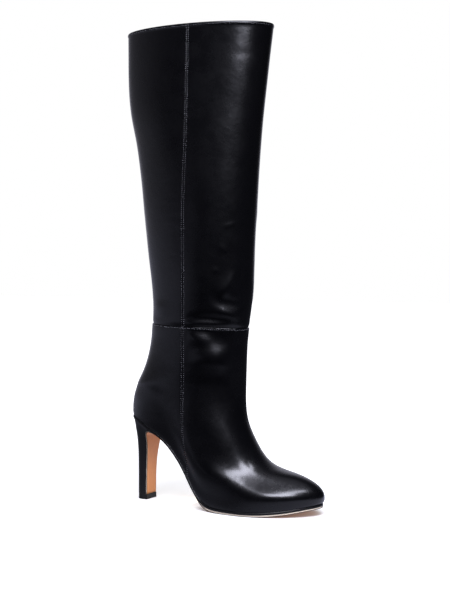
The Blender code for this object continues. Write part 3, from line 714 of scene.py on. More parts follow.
# %% The tree for pieces in a row
def row_tree(name, sizes, lay_pieces):
    """Node group that lays small pieces along edges. Sizes are its named inputs; the function
    lay_pieces adds the piece and gives the instances of it."""
    tree = bpy.data.node_groups.new(name, "GeometryNodeTree")
    for in_out in ("INPUT", "OUTPUT"):
        tree.interface.new_socket("Geometry", in_out=in_out, socket_type="NodeSocketGeometry")
    for size, value in sizes.items():
        tree.interface.new_socket(size, socket_type="NodeSocketFloat").default_value = value
    tree.interface.new_socket("Finish", socket_type="NodeSocketMaterial")
    given = add_node(tree, "NodeGroupInput").outputs
    row = add_node(tree, "GeometryNodeMeshToCurve", {"Mesh": given["Geometry"]})
    steps = add_node(tree, "GeometryNodeResampleCurve", {"Curve": row.outputs["Curve"],
                                                         "Length": given["Pitch"]}, mode="LENGTH")
    outward = add_node(tree, "GeometryNodeInputNamedAttribute", {"Name": "outward"},
                       data_type="FLOAT_VECTOR")
    tangent = add_node(tree, "GeometryNodeInputTangent")
    along = add_node(tree, "FunctionNodeAlignRotationToVector",
                     {"Vector": tangent.outputs["Tangent"]}, axis="X")
    flat = add_node(tree, "FunctionNodeAlignRotationToVector",
                    {"Rotation": along.outputs["Rotation"],
                     "Vector": outward.outputs["Attribute"]}, axis="Z", pivot_axis="X")
    laid = lay_pieces(tree, given, steps.outputs["Curve"], flat.outputs["Rotation"])
    real = add_node(tree, "GeometryNodeRealizeInstances", {"Geometry": laid})
    painted = add_node(tree, "GeometryNodeSetMaterial", {"Geometry": real.outputs["Geometry"],
                                                         "Material": given["Finish"]})
    add_node(tree, "NodeGroupOutput", {"Geometry": painted.outputs["Geometry"]})
    return tree


def lay_lozenges(tree, given, points, rotation):
    """A stitch at each point: a small ball drawn out to the thread's length, width and height."""
    lozenge = add_node(tree, "GeometryNodeMeshUVSphere", {"Segments": 6, "Rings": 4,
                                                          "Radius": 0.5})
    size = add_node(tree, "ShaderNodeCombineXYZ", {"X": given["Length"], "Y": given["Width"],
                                                   "Z": given["Height"]})
    return add_node(tree, "GeometryNodeInstanceOnPoints", {
        "Points": points, "Instance": lozenge.outputs["Mesh"], "Rotation": rotation,
        "Scale": size.outputs["Vector"]}).outputs["Instances"]


stitches = row_tree("stitch_rows", {"Pitch": 2.0 * MM, "Length": 1.5 * MM, "Width": 0.4 * MM,
                                    "Height": 0.3 * MM}, lay_lozenges)
print("stitch tree inputs:", [s.name for s in stitches.interface.items_tree])

# %% A plain mesh from a tree
def grown_piece(name, rows, tree, **values):
    """Plain mesh of a tree run once on rows of points, each with its outward directions."""
    mesh = bpy.data.meshes.new(name)
    edges, start = [], 0
    for points, _ in rows:
        edges += [(start + i, start + i + 1) for i in range(len(points) - 1)]
        start += len(points)
    mesh.from_pydata(np.concatenate([p for p, _ in rows]).tolist(), edges, [])
    outward = mesh.attributes.new("outward", "FLOAT_VECTOR", "POINT")
    outward.data.foreach_set("vector", np.concatenate([o for _, o in rows]).ravel())
    item = add_object(name, mesh)
    modifier = item.modifiers.new(tree.name, "NODES")
    modifier.node_group = tree
    for socket in tree.interface.items_tree:
        if socket.in_out == "INPUT" and socket.name in values:
            modifier[socket.identifier] = values[socket.name]
    shape = item.evaluated_get(bpy.context.evaluated_depsgraph_get())
    item.data = bpy.data.meshes.new_from_object(shape)
    item.modifiers.clear()
    item.data.name = name
    item.data.shade_smooth()
    return item


print("a modifier knows them as:", [s.identifier for s in stitches.interface.items_tree])

# %% Thread
# waxed nylon, half-dull; its grey is partly its own colour and partly a painted sheen. Its ply
# twists every 0.6 mm, a faint change of tone
thread, tree, shader, place = new_material("nylon_thread_grey_painted_sheen", "#6c6c70", 0.42, IOR=1.53)
ply = add_node(tree, "ShaderNodeTexNoise", {"Vector": place, "Scale": 1 / (0.6 * MM)})
patterned(tree, shader, ply.outputs["Fac"], tones=("#6a6a6e", "#a4a4a8"))
print("thread:", thread.name)

# %% [markdown]
# ## Where the stitches run
# Two rows close each side seam, 1.25 mm from its middle. Along the zip they part to 8.5 mm on each
# side and meet again over its top in a rounded bar. One more row holds the foot's folded edge down
# on the shaft, and a fine row runs under the collar.

# %% Helpers for the rows
STITCH_SINK = 0.06 * MM      # a stitch's middle below the leather's face
ROW_END = 0.03               # of a level, from a row's end to the seam or the collar
SOLE_START = 0.10            # level at which the rows rise from the sole


def on_leather(turn, level, sink):
    """Points on the dressed leather with their outward directions."""
    turn, level = np.broadcast_arrays(np.asarray(turn, float), np.asarray(level, float))
    point, _, _, outward = leather_frame(turn, level)
    lift = leather_lift(turn, level, point) - sink(level) - STITCH_SINK
    return point + outward * lift[..., None], outward


def zip_spread(levels):
    """Distance of the rows from the inner seam: narrow above and below the zip, wide beside it."""
    height = keyed(levels, KEY_HEIGHTS)
    past_top = np.clip((height - (ZIP_TOP - 6 * MM)) / (10 * MM), 0, 1)
    past_foot = np.clip((ZIP_BOTTOM + 4 * MM - height) / (9 * MM), 0, 1)
    return ZIP_ROW * np.sqrt(1 - past_top**2) * np.sqrt(1 - past_foot**2)


def row_pair(turns_at, levels, sink, spread):
    """Two rows of points, one on each side of a seam."""
    middle, rate = keyed(levels, turns_at), keyed(levels, KEY_RATES)
    return [on_leather(middle + side * spread / rate, levels, sink) for side in (-1, 1)]


print("rows beside the zip, mm from it:", round(float(zip_spread(level_at(150 * MM))) / MM, 2))

# %% Rows on the side seams and beside the zip
foot_top = SEAM_LEVEL + (LAP - 0.4 * MM) / ankle_rate
shaft_foot, shaft_top = foot_top + ROW_END, COLLAR_LEVEL - ROW_END
rows = []
for turns_at, low, high, sink, spread in (
        (KEY_OUTER, SOLE_START, foot_top, foot_sink, ROW_SIDE),
        (KEY_OUTER, shaft_foot, shaft_top, shaft_sink, ROW_SIDE),
        (KEY_INNER, SOLE_START, level_at(ZIP_BOTTOM - 6 * MM), foot_sink, ROW_SIDE),
        (KEY_INNER, level_at(ZIP_TOP + 5 * MM), shaft_top, shaft_sink, 1.5 * MM)):
    rows += row_pair(turns_at, np.linspace(low, high, 220), sink, spread)

# beside the zip: from its lower end up to the ankle seam, and from there to its top
for low, high, sink in ((level_at(ZIP_BOTTOM - 5 * MM), foot_top, foot_sink),
                        (shaft_foot, level_at(ZIP_TOP + 4 * MM), shaft_sink)):
    levels = low + (high - low) * (1 - np.cos(np.linspace(0, math.pi, 240))) / 2
    rows += row_pair(KEY_INNER, levels, sink, zip_spread(levels))

seam_stitches = grown_piece("seam_stitches", rows, stitches, Pitch=2.15 * MM, Length=1.2 * MM,
                            Width=0.55 * MM, Height=0.3 * MM, Finish=thread)
finish(seam_stitches, thread, "foot_leather")

# %% Ankle row and collar row
ANKLE_ROW = 1.5 * MM         # from the foot's folded edge to its row
COLLAR_ROW = 2.3 * MM        # from the collar's top to its row
ROW_POINTS = 360
inner_turn, rate = keyed(SEAM_LEVEL, KEY_INNER), keyed(SEAM_LEVEL, KEY_RATES)
zip_room = 1.6 * MM / rate
ankle_row = on_leather(np.linspace(inner_turn - 1 + zip_room, inner_turn - zip_room, ROW_POINTS),
                       SEAM_LEVEL + (LAP - ANKLE_ROW) / ankle_rate, foot_sink)
collar_row = on_leather(np.linspace(0, 1, ROW_POINTS), COLLAR_LEVEL - COLLAR_ROW / COLLAR_RATE,
                        shaft_sink)
ankle_stitches = grown_piece("ankle_stitches", [ankle_row], stitches, Pitch=2.0 * MM,
                             Length=1.5 * MM, Width=0.46 * MM, Height=0.34 * MM, Finish=thread)
finish(ankle_stitches, thread, "foot_leather")
collar_stitches = grown_piece("collar_stitches", [collar_row], stitches, Pitch=1.8 * MM,
                              Length=1.3 * MM, Width=0.36 * MM, Height=0.26 * MM, Finish=thread)
finish(collar_stitches, thread, "shaft_leather")

# %% [markdown]
# ## Midsole and its painted edge
# The leather is pulled round a thin midsole, whose edge stands out by half a millimetre all round
# and is painted black. Its edge is a profile of a few points that runs round the sole's outline,
# pushed out and down from it. The two sides of the foot are then joined rib by rib, which keeps
# the underside in line with the arch.

# %% Sole helpers
MIDSOLE_THICKNESS = 1.8 * MM
MIDSOLE_PROUD = 0.5 * MM
SEAT_DEPTH = MIDSOLE_THICKNESS + 2 * GAP    # from the leather to the outsole and the heel
SOLE_HALF = 120              # points on each side of the outline, heel to toe
RIM_IN = 2.0 * MM            # how far in from its edge the profile of a sole starts
SOLE_LOOP = leather_point(np.arange(2 * SOLE_HALF) / (2 * SOLE_HALF), 0.0)
ahead = np.roll(SOLE_LOOP, -1, axis=0) - np.roll(SOLE_LOOP, 1, axis=0)
SOLE_OUTWARD = np.stack([ahead[:, 1], -ahead[:, 0], np.zeros(len(ahead))], -1)
SOLE_OUTWARD /= np.linalg.norm(SOLE_OUTWARD, axis=-1, keepdims=True)


def sole_slope(x):
    """Rise of the sole's edge for each metre forward, and the length of that slope."""
    nudge = 0.5 * MM
    slope = (sole_height(x + nudge) - sole_height(x - nudge)) / (2 * nudge)
    return slope, np.sqrt(1 + slope**2)


def sole_rim(out, depth):
    """The outline moved out, and then down square to the sole's profile."""
    points = SOLE_LOOP + np.reshape(out, (-1, 1)) * SOLE_OUTWARD
    slope, length = sole_slope(points[:, 0])
    height = sole_height(points[:, 0]) - depth / length
    return np.stack([points[:, 0] + depth * slope / length, points[:, 1], height], -1)


def sole_ribs(rims):
    """Rings across the sole, heel to toe, from the rims that run round it."""
    rims = np.array(rims)
    outer, inner = rims[:, :SOLE_HALF + 1], rims[:, -np.arange(SOLE_HALF + 1)]
    return np.concatenate([outer, inner[::-1]]).transpose(1, 0, 2)


print("sole outline, mm:", [round(v) for v in np.ptp(SOLE_LOOP, axis=0) / MM])

# %% Midsole
# edge paint goes on in a few brushed coats: a half-gloss skin with faint strokes 2.2 mm wide
edge_paint, tree, shader, place = new_material("edge_paint_black", "#0c0c0d", 0.34, IOR=1.5)
brush = add_node(tree, "ShaderNodeTexNoise", {"Vector": place, "Scale": 1 / (2.2 * MM),
                                              "Detail": 3.0})
patterned(tree, shader, brush.outputs["Fac"], gloss=(0, 1, 0.26, 0.44), relief=(0.35, 0.15 * MM))
top, bottom = 0.06 * MM, SEAT_DEPTH - 0.06 * MM
rand_profile = ((-RIM_IN, top), (0.0, top), (MIDSOLE_PROUD * 0.7, top + 0.1 * MM),
                (MIDSOLE_PROUD, top + 0.45 * MM), (MIDSOLE_PROUD, bottom - 0.45 * MM),
                (MIDSOLE_PROUD * 0.7, bottom - 0.1 * MM), (0.0, bottom), (-RIM_IN, bottom))
midsole = ring_piece("midsole_painted", sole_ribs([sole_rim(*spot) for spot in rand_profile]))
finish(midsole, edge_paint, "sole_edge", "midsole")

# %% [markdown]
# ## Leather outsole
# The outsole is vegetable-tanned leather, pale tan, shaved thin under the arch and glued down the
# front of the heel. Its edge is left natural; the dark band at its bottom corner is partly a stain
# and partly a painted contact shadow.
# A stored value on each point, 0 on top and 1 underneath, tells the material where that edge is.

# %% Sole leather
# bend leather is rolled hard: warm, half-dull, a little waxy, with clouds of tan 30 mm wide
sole_leather, tree, shader, place = new_material("sole_bend_tan", "#cf9870", 0.46, IOR=1.48,
                                                 Coat_Weight=0.15, Coat_Roughness=0.3)
clouds = add_node(tree, "ShaderNodeTexNoise", {"Vector": place, "Scale": 1 / (30 * MM),
                                               "Detail": 4.0})
# the fibres are 0.05 mm across and lie along the foot; they are drawn 0.6 mm across to show
stretch = add_node(tree, "ShaderNodeMapping", {"Vector": place, "Scale": (0.12, 1.0, 0.12)})
fibres = add_node(tree, "ShaderNodeTexNoise", {"Vector": stretch.outputs["Vector"],
                                               "Scale": 1 / (0.6 * MM), "Detail": 3.0})
patterned(tree, shader, fibres.outputs["Fac"], relief=(0.3, 0.1 * MM))
depth = add_node(tree, "ShaderNodeAttribute", attribute_name="depth").outputs["Fac"]
# the natural edge lies half-way through the thickness; the dark band at its lower corner is partly
# stain and partly painted contact shadow
edge_here, stain_and_painted_shadow = [
    add_node(tree, "ShaderNodeMath", {0: depth, 1: middle, 2: reach},
             operation="COMPARE").outputs[0]
    for middle, reach in ((0.5, 0.49), (0.79, 0.20))]
colour = hex_colour("#cb8753")
for share, code in ((clouds.outputs["Fac"], "#dda371"), (fibres.outputs["Fac"], "#b0703f"),
                    (edge_here, "#efe0c8"), (stain_and_painted_shadow, "#3a2418")):
    colour = add_node(tree, "ShaderNodeMix", {0: share, 6: colour, 7: hex_colour(code)},
                      data_type="RGBA").outputs[2]
tree.links.new(colour, shader.inputs["Base Color"])
print("sole leather:", sole_leather.name)

# %% Sizes and curves of sole and heel
OUTSOLE_THICKNESS = 2.4 * MM
TOE_THICKNESS = 1.6 * MM
SHANK_THICKNESS = 1.5 * MM   # under the arch
FLAP_THICKNESS = 1.3 * MM
WAIST_INSET = 3.2 * MM       # drawn in under the arch, so its edge hides
TOP_LIFT_HEIGHT = 5.5 * MM
HEEL_TIP_BACK, HEEL_TIP_FRONT, HEEL_TIP_HALF_WIDTH = -8.6 * MM, 4.2 * MM, 9.3 * MM
HEEL_SEAT_BACK, HEEL_SEAT_HALF_WIDTH = -13.2 * MM, 22.3 * MM
HEEL_FLARE = 4.5             # power of the widening from tip to seat
BREAST_ARC = 7.0 * MM        # round at the top of the heel's front
BREAST_TOP_X, BREAST_TOP_Z = 7.8 * MM, 68.2 * MM
ARCH_START = 23 * MM
HEEL_BOTTOM = TOP_LIFT_HEIGHT + 0.1 * MM


def breast_curve():
    """Side view of the heel's front, from the tip up to the arch."""
    centre = np.array([BREAST_TOP_X + BREAST_ARC, BREAST_TOP_Z])
    knots = np.array([(4.2 * MM, TOP_LIFT_HEIGHT), (4.5 * MM, 22 * MM), (5.4 * MM, 42 * MM),
                      (6.8 * MM, 56 * MM), (BREAST_TOP_X, BREAST_TOP_Z)])
    heights = np.linspace(TOP_LIFT_HEIGHT + 0.3 * MM, BREAST_TOP_Z, 30)
    line = np.stack([spline(knots[:, 1], knots[:, 0], heights), heights], -1)
    angles = np.radians(np.linspace(168, 68, 18))
    arc = centre + BREAST_ARC * np.stack([np.cos(angles), np.sin(angles)], -1)
    return np.concatenate([line, arc])


def offset_curve(curve, distance):
    """A curve in the side view moved to the left of its direction."""
    along = np.gradient(curve, axis=0)
    along /= np.linalg.norm(along, axis=-1, keepdims=True)
    return curve + distance * np.stack([-along[:, 1], along[:, 0]], -1)


def seat_height(x):
    """Height of the heel's top face, under the midsole, at x."""
    return sole_height(x) - SEAT_DEPTH * sole_slope(x)[1]


print("heel block, mm:", round(HEEL_BOTTOM / MM, 1), "to", round(float(seat_height(0.0)) / MM, 1))

# %% Outsole and the flap down the heel
# how far in from the edge, and how far down through the thickness, each point of the edge lies
EDGE_PROFILE = ((RIM_IN, 0.0), (0.18 * MM, 0.0), (0.04 * MM, 0.08), (0.0, 0.22), (0.0, 0.78),
                (0.06 * MM, 0.92), (0.22 * MM, 1.0), (RIM_IN, 1.0))
x = SOLE_LOOP[:, 0]
waist = smooth_step(96 * MM - x, 0.0, 22 * MM)
toe = np.clip((x - 160 * MM) / (44 * MM), 0, 1)
thick = (OUTSOLE_THICKNESS + (SHANK_THICKNESS - OUTSOLE_THICKNESS) * waist
         + (TOE_THICKNESS - OUTSOLE_THICKNESS) * toe)
edge = MIDSOLE_PROUD - 0.4 * MM - WAIST_INSET * waist
rims = [sole_rim(edge - back_in, SEAT_DEPTH - 0.02 * MM + share * thick)
        for back_in, share in EDGE_PROFILE]
ribs = sole_ribs(rims)[::-1]
ribs[..., 2] = np.maximum(ribs[..., 2], 0.0)
ribs = ribs[x[SOLE_HALF::-1] > ARCH_START]
arch_half_width = abs(ribs[-1, 3, 1] - ribs[-1, -4, 1]) / 2
tip_half_width = HEEL_TIP_HALF_WIDTH - 0.15 * MM
near = breast_curve()[::-1]
far = offset_curve(near, FLAP_THICKNESS)
flap = []
for inner_point, outer_point in zip(near[1:], far[1:]):
    flare = np.clip(inner_point[1] / seat_height(inner_point[0]), 0, 1)**HEEL_FLARE
    half = tip_half_width + (arch_half_width - tip_half_width) * flare
    side = [(*(inner_point + (outer_point - inner_point) * share), half - back_in)
            for back_in, share in EDGE_PROFILE]
    flap.append([(px, -py, pz) for px, pz, py in side]
                + [(px, py, pz) for px, pz, py in side[::-1]])
half_depth = [share for _, share in EDGE_PROFILE]
outsole = ring_piece("outsole_leather", np.concatenate([ribs, flap]),
                     half_depth + half_depth[::-1])
finish(outsole, sole_leather, "sole_leather", "outsole")

# %% [markdown]
# ## Covered heel and top lift
# The heel is a moulded block covered in black calf, made paler by a painted reflection, round at
# the back, nearly flat in front and flaring out to the seat at the top. A rubber lift is nailed
# under it. Both are lofts through rings, because the block's width and its back line change by a
# simple power of height.

# %% Heel
def heel_ring(share, inset=0.0):
    """Ring of the heel at a share of its height: round at the back and flat at the front."""
    blend = share**HEEL_FLARE
    back = HEEL_TIP_BACK + (HEEL_SEAT_BACK - HEEL_TIP_BACK) * blend
    half_width = HEEL_TIP_HALF_WIDTH + (HEEL_SEAT_HALF_WIDTH - HEEL_TIP_HALF_WIDTH) * blend
    rounded = 0.55 + 0.45 * blend
    front_curve = offset_curve(breast_curve(), 0.04 * MM)
    low, high = back, 20 * MM
    for _ in range(30):
        middle = (low + high) / 2
        height = HEEL_BOTTOM + share * (seat_height(middle) - HEEL_BOTTOM)
        past = middle > np.interp(height, front_curve[:-6, 1], front_curve[:-6, 0])
        low, high = (low, middle) if past else (middle, high)
    front = min(middle, front_curve[-7, 0])
    angles = np.linspace(0, math.pi / 2, 22)
    corner = np.linspace(0.82 + 0.18 * rounded, 0.994, 4)
    along = np.concatenate([rounded * (1 - np.cos(angles)), corner, [1.0, 1.0]])
    wide = np.concatenate([np.sin(angles), [1.0, 1.0, 0.998, 0.992], [0.975, 0.90]])
    back, front, half_width = back + inset, front - inset, half_width - inset
    x = back + (front - back) * np.concatenate([along[::-1], along[1:]])
    y = half_width * np.concatenate([-wide[::-1], wide[1:]])
    z = HEEL_BOTTOM + share * (seat_height(x) - HEEL_BOTTOM)
    return np.stack([x, y, z], -1)


heel_rings = [heel_ring(0.0, 0.5 * MM), heel_ring(0.002, 0.12 * MM)]
heel_rings += [heel_ring(share) for share in 1 - (1 - np.linspace(0.008, 0.985, 40))**1.4]
heel_rings += [heel_ring(0.997, 0.15 * MM), heel_ring(1.0, 0.6 * MM)]
heel = ring_piece("heel_cover", heel_rings)
finish(heel, heel_calf_painted_reflection, "heel_cover", "heel")

# %% Top lift
# moulded rubber is dull and dark grey, and grit has marked it every 0.8 mm
rubber, tree, shader, place = new_material("rubber_lift_black", "#111112", 0.62, IOR=1.52)
grit = add_node(tree, "ShaderNodeTexNoise", {"Vector": place, "Scale": 1 / (0.8 * MM),
                                             "Detail": 3.0})
patterned(tree, shader, grit.outputs["Fac"], tones=("#0d0d0e", "#1d1d1f"),
          gloss=(0.4, 0.7, 0.5, 0.75), relief=(0.4, 0.1 * MM))
lift_plan = heel_ring(0.0)
back, front = lift_plan[:, 0].min(), lift_plan[:, 0].max()
reach = (HEEL_TIP_FRONT + FLAP_THICKNESS + GAP - back) / (front - back)
lift_plan[:, 0] = back + (lift_plan[:, 0] - back) * reach
middle = np.array([(back + front * reach) / 2, 0.0, 0.0])
lift_rings = []
for height, shrink in ((0.0, 0.93), (0.0, 0.985), (0.35 * MM, 1.0), (5.1 * MM, 1.0),
                       (TOP_LIFT_HEIGHT, 0.985), (TOP_LIFT_HEIGHT, 0.6)):
    ring = middle + (lift_plan - middle) * shrink
    ring[:, 2] = height
    lift_rings.append(ring)
lift = ring_piece("top_lift_rubber", lift_rings)
finish(lift, rubber, "top_lift", "top_lift")

# %% [markdown]
# ## The hidden zip
# The zip is sewn behind the leather's two edges, so only a dark line and its slider show. Its tape
# is a woven strip that follows the lining, and its teeth are small moulded pieces that lock
# together from the two sides. Geometry Nodes lay one tooth after another along the zip's middle.

# %% Zip tape
TAPE_DEPTH = 2.25 * MM
TAPE_THICKNESS = 0.7 * MM
TAPE_HALF_TURN = 0.028
TAPE_ROWS, TAPE_COLUMNS = 90, 13
# woven polyester is dull, with a faint bloom where it turns away from the eye
tape_weave, tree, shader, place = new_material("zip_tape_woven_black", "#0d0d0e", 0.75, IOR=1.5,
                                               Sheen_Weight=0.15, Sheen_Roughness=0.5)
# the tape's ribs are 0.5 mm apart on the real thing; 0.8 mm keeps them from shimmering
ribs = add_node(tree, "ShaderNodeTexWave", {"Vector": place, "Scale": 0.314 / (0.8 * MM)},
                bands_direction="Z")
patterned(tree, shader, ribs.outputs["Fac"], tones=("#09090a", "#1b1b1d"),
          relief=(0.6, 0.12 * MM))
tape_levels = np.linspace(level_at(ZIP_BOTTOM - 6 * MM), level_at(ZIP_TOP + 6 * MM), TAPE_ROWS)
tape_turns = (keyed(tape_levels, KEY_INNER)[:, None]
              + np.linspace(-TAPE_HALF_TURN, TAPE_HALF_TURN, TAPE_COLUMNS))
point, _, _, outward = leather_frame(tape_turns, tape_levels[:, None])
tape = thin_sheet("zip_tape_woven", point - outward * TAPE_DEPTH,
                  point - outward * (TAPE_DEPTH + TAPE_THICKNESS))
finish(tape, tape_weave, "zip_tape", "zip_tape")

# %% Zip teeth
TOOTH_DEPTH = 1.85 * MM      # the teeth's middle below the leather's face


def lay_teeth(tree, given, points, rotation):
    """A tooth at each point: even ones stand to one side of the middle, odd ones to the other."""
    size = add_node(tree, "ShaderNodeCombineXYZ", {"X": given["Length"], "Y": given["Width"],
                                                   "Z": given["Height"]})
    tooth = add_node(tree, "GeometryNodeMeshCube", {"Size": size.outputs["Vector"]})
    laid = add_node(tree, "GeometryNodeInstanceOnPoints", {
        "Points": points, "Instance": tooth.outputs["Mesh"], "Rotation": rotation})
    value = add_node(tree, "GeometryNodeInputIndex").outputs["Index"]
    for operation, numbers in (("MODULO", {1: 2.0}), ("MULTIPLY_ADD", {1: 2.0, 2: -1.0}),
                               ("MULTIPLY", {1: given["Shift"]})):
        value = add_node(tree, "ShaderNodeMath", {0: value, **numbers},
                         operation=operation).outputs[0]
    aside = add_node(tree, "ShaderNodeCombineXYZ", {"Y": value})
    return add_node(tree, "GeometryNodeTranslateInstances", {
        "Instances": laid.outputs["Instances"],
        "Translation": aside.outputs["Vector"]}).outputs["Instances"]


# nylon drawn through a die is smooth, and its gloss wanders over 1.5 mm
coil_nylon, tree, shader, place = new_material("zip_coil_nylon_black", "#101012", 0.34, IOR=1.53)
drawn = add_node(tree, "ShaderNodeTexNoise", {"Vector": place, "Scale": 1 / (1.5 * MM)})
patterned(tree, shader, drawn.outputs["Fac"], gloss=(0, 1, 0.28, 0.42))
tooth_levels = np.linspace(level_at(ZIP_BOTTOM), level_at(ZIP_TOP - 2 * MM), 160)
point, _, _, outward = leather_frame(keyed(tooth_levels, KEY_INNER), tooth_levels)
tooth_tree = row_tree("zip_teeth", {"Pitch": 0.75 * MM, "Length": 0.55 * MM, "Width": 1.5 * MM,
                                    "Height": 0.7 * MM, "Shift": 0.35 * MM}, lay_teeth)
teeth = grown_piece("zip_teeth", [(point - outward * TOOTH_DEPTH, outward)], tooth_tree,
                    Finish=coil_nylon)
teeth.data.shade_flat()
finish(teeth, coil_nylon, "zip_tape")

# %% [markdown]
# ## Slider and pull
# The slider is die-cast and plated in black nickel. A bridge on its plate holds the pull, a long
# loop of wire that hangs straight down. Round wire is a ring of points swept along a path, with
# each ring turned by the least amount from the last, so the wire never twists.

# %% Wire
SLIDER_WIDTH, SLIDER_LENGTH, SLIDER_THICKNESS = 6.4 * MM, 9.0 * MM, 1.6 * MM
SLIDER_LIFT = 0.35 * MM      # its plate clear of the leather
SLIDER_DROP = 8 * MM         # its middle below the top of the zip
PULL_LENGTH, PULL_WIDTH, PULL_WIRE = 27 * MM, 6.4 * MM, 0.75 * MM
BRIDGE_ARC, BRIDGE_WIRE = 2.9 * MM, 0.6 * MM
PIVOT_LIFT = 1.15 * MM       # the pull's pivot above the plate


def wire_rings(path, radius, sides, closed):
    """Rings of a round wire along a path."""
    path = np.asarray(path, float)
    if closed:
        ahead = np.roll(path, -1, axis=0) - np.roll(path, 1, axis=0)
    else:
        ahead = np.gradient(path, axis=0)
    ahead /= np.linalg.norm(ahead, axis=-1, keepdims=True)
    side = np.cross(ahead[0], (0.0, 0.0, 1.0) if abs(ahead[0][2]) < 0.9 else (1.0, 0.0, 0.0))
    angles = np.arange(sides)[:, None] * 2 * math.pi / sides
    rings = []
    for spot, direction in zip(path, ahead):
        side = side - direction * side.dot(direction)
        side /= np.linalg.norm(side)
        other = np.cross(direction, side)
        rings.append(spot + radius * (np.cos(angles) * side + np.sin(angles) * other))
    return np.array(rings)


def moved(points, matrix):
    """Points taken from a fitting's own axes to the boot's."""
    return np.asarray(points) @ np.array(matrix.to_3x3()).T + np.array(matrix.translation)


print("pull, mm:", round(PULL_LENGTH / MM, 1), "long, its wire", round(2 * PULL_WIRE / MM, 2))

# %% The slider's place and plating
def slider_place():
    """Point on the leather under the slider's middle, with its directions as a matrix."""
    level = level_at(ZIP_TOP - SLIDER_DROP)
    point, across, _, outward = leather_frame(float(seam_turn(level, True)), level)
    across = Vector((-across[0], -across[1], 0.0)).normalized()
    upward = across.cross(Vector(outward))
    outward = upward.cross(across)
    turned = Matrix((across, upward, -outward)).transposed().to_4x4()
    return Matrix.Translation(Vector(point)) @ turned


def rounded_plate(name, width, length, squareness, rows):
    """Plate with rounded corners at the slider's place, through rows of height and shrinkage."""
    angles = np.linspace(0, 2 * math.pi, 40, endpoint=False)
    plan = np.stack([np.cos(angles), np.sin(angles)], -1)
    plan = np.sign(plan) * np.abs(plan)**(2 / squareness)
    rings = [np.column_stack([plan * (np.array([width, length]) / 2 - shrink),
                              np.full(len(angles), -height)]) for height, shrink in rows]
    return ring_piece(name, [moved(ring, SLIDER) for ring in rings])


SLIDER = slider_place()
# black nickel is a dark mirror, dulled in patches of 3 mm where fingers handle it
black_nickel, tree, shader, place = new_material("black_nickel_plating", "#4b4a4e", 0.22,
                                                 Metallic=1.0)
handling = add_node(tree, "ShaderNodeTexNoise", {"Vector": place, "Scale": 1 / (3 * MM),
                                                 "Detail": 4.0})
patterned(tree, shader, handling.outputs["Fac"], tones=("#3e3d41", "#5c5b60"),
          gloss=(0, 1, 0.14, 0.32))
print("slider stands at", [round(v / MM, 1) for v in SLIDER.translation])

# %% Slider
low, high = SLIDER_LIFT, SLIDER_LIFT + SLIDER_THICKNESS
plate = rounded_plate("slider_plate", SLIDER_WIDTH, SLIDER_LENGTH, 4.0, (
    (low, 0.5 * MM), (low + 0.12 * MM, 0.15 * MM), (low + 0.4 * MM, 0.0), (high - 0.6 * MM, 0.0),
    (high - 0.25 * MM, 0.15 * MM), (high - 0.05 * MM, 0.5 * MM), (high, 1.2 * MM)))
neck = rounded_plate("slider_neck", 0.9 * MM, 4 * MM, 6.0,
                     ((-1.3 * MM, 0.1 * MM), (low + 0.3 * MM, 0.0)))
foot = -high + 0.8 * MM      # the bridge's ends go down into the plate
arch = [(0, BRIDGE_ARC * math.cos(a), -high - BRIDGE_ARC * math.sin(a))
        for a in np.linspace(0, math.pi, 25)]
arch = [(0, BRIDGE_ARC, foot)] + arch + [(0, -BRIDGE_ARC, foot)]
bridge = ring_piece("slider_bridge", wire_rings(moved(arch, SLIDER), BRIDGE_WIRE, 12, False))
for item in (plate, neck, bridge):
    finish(item, black_nickel, "zip_metal", "zip_slider")

# %% Pull
pivot = SLIDER @ Vector((0, 0, -high - PIVOT_LIFT))
across, up = SLIDER.to_3x3().col[0], Vector((0, 0, 1))
plumb = Matrix((across, up, across.cross(up))).transposed().to_4x4()
plumb = Matrix.Translation(pivot) @ plumb
radius = PULL_WIDTH / 2 - PULL_WIRE
straight = PULL_LENGTH - 2 * radius - 2 * PULL_WIRE
loop = [(radius * math.cos(a), radius * math.sin(a) - radius - drop, 0.0)
        for start, drop in ((0, 0), (math.pi, straight))
        for a in np.linspace(start, start + math.pi, 19)]
rings = wire_rings(moved(loop, plumb), PULL_WIRE, 14, True)
pull = mesh_piece("pull_loop", rings, grid_quads(*rings.shape[:2], wrap_rows=True,
                                                 wrap_columns=True))
clean(pull)
finish(pull, black_nickel, "zip_metal", "zip_pull", body="pull")

# %% [markdown]
# ## Insole
# The insole is the flat piece that the foot stands on, covered in the lining's goat leather. Its
# shape in the CAD model is already right, so that node only gets the finish.

# %% Insole's finish
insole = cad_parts["insole"]
for slot in insole.material_slots:
    slot.material = goat
print("insole finish:", [slot.material.name for slot in insole.material_slots])

# %% [markdown]
# ## Floor, light and room
# The studio has one long softbox overhead, a little in front and to the side of the shoe, which
# makes the bright patch on the vamp and the streak along the toe. It is built as two halves,
# because its lower half is much the brighter. A narrow strip beside the camera lights the folds
# at the ankle, and a weak small light under the arch is what white paper throws back on the front
# of the heel. The shoe stands on white paper in a dark room, where a lit backdrop, a dim wall on
# the left and a little ceiling give the black leather its pale rims. Floor and room look plain
# white to the camera, and the leather mirrors the studio: those are two branches of one tree,
# parted by a Light Path node.

# %% Softbox and small lights
COOL, WARM = "#edeeff", "#fff2d6"
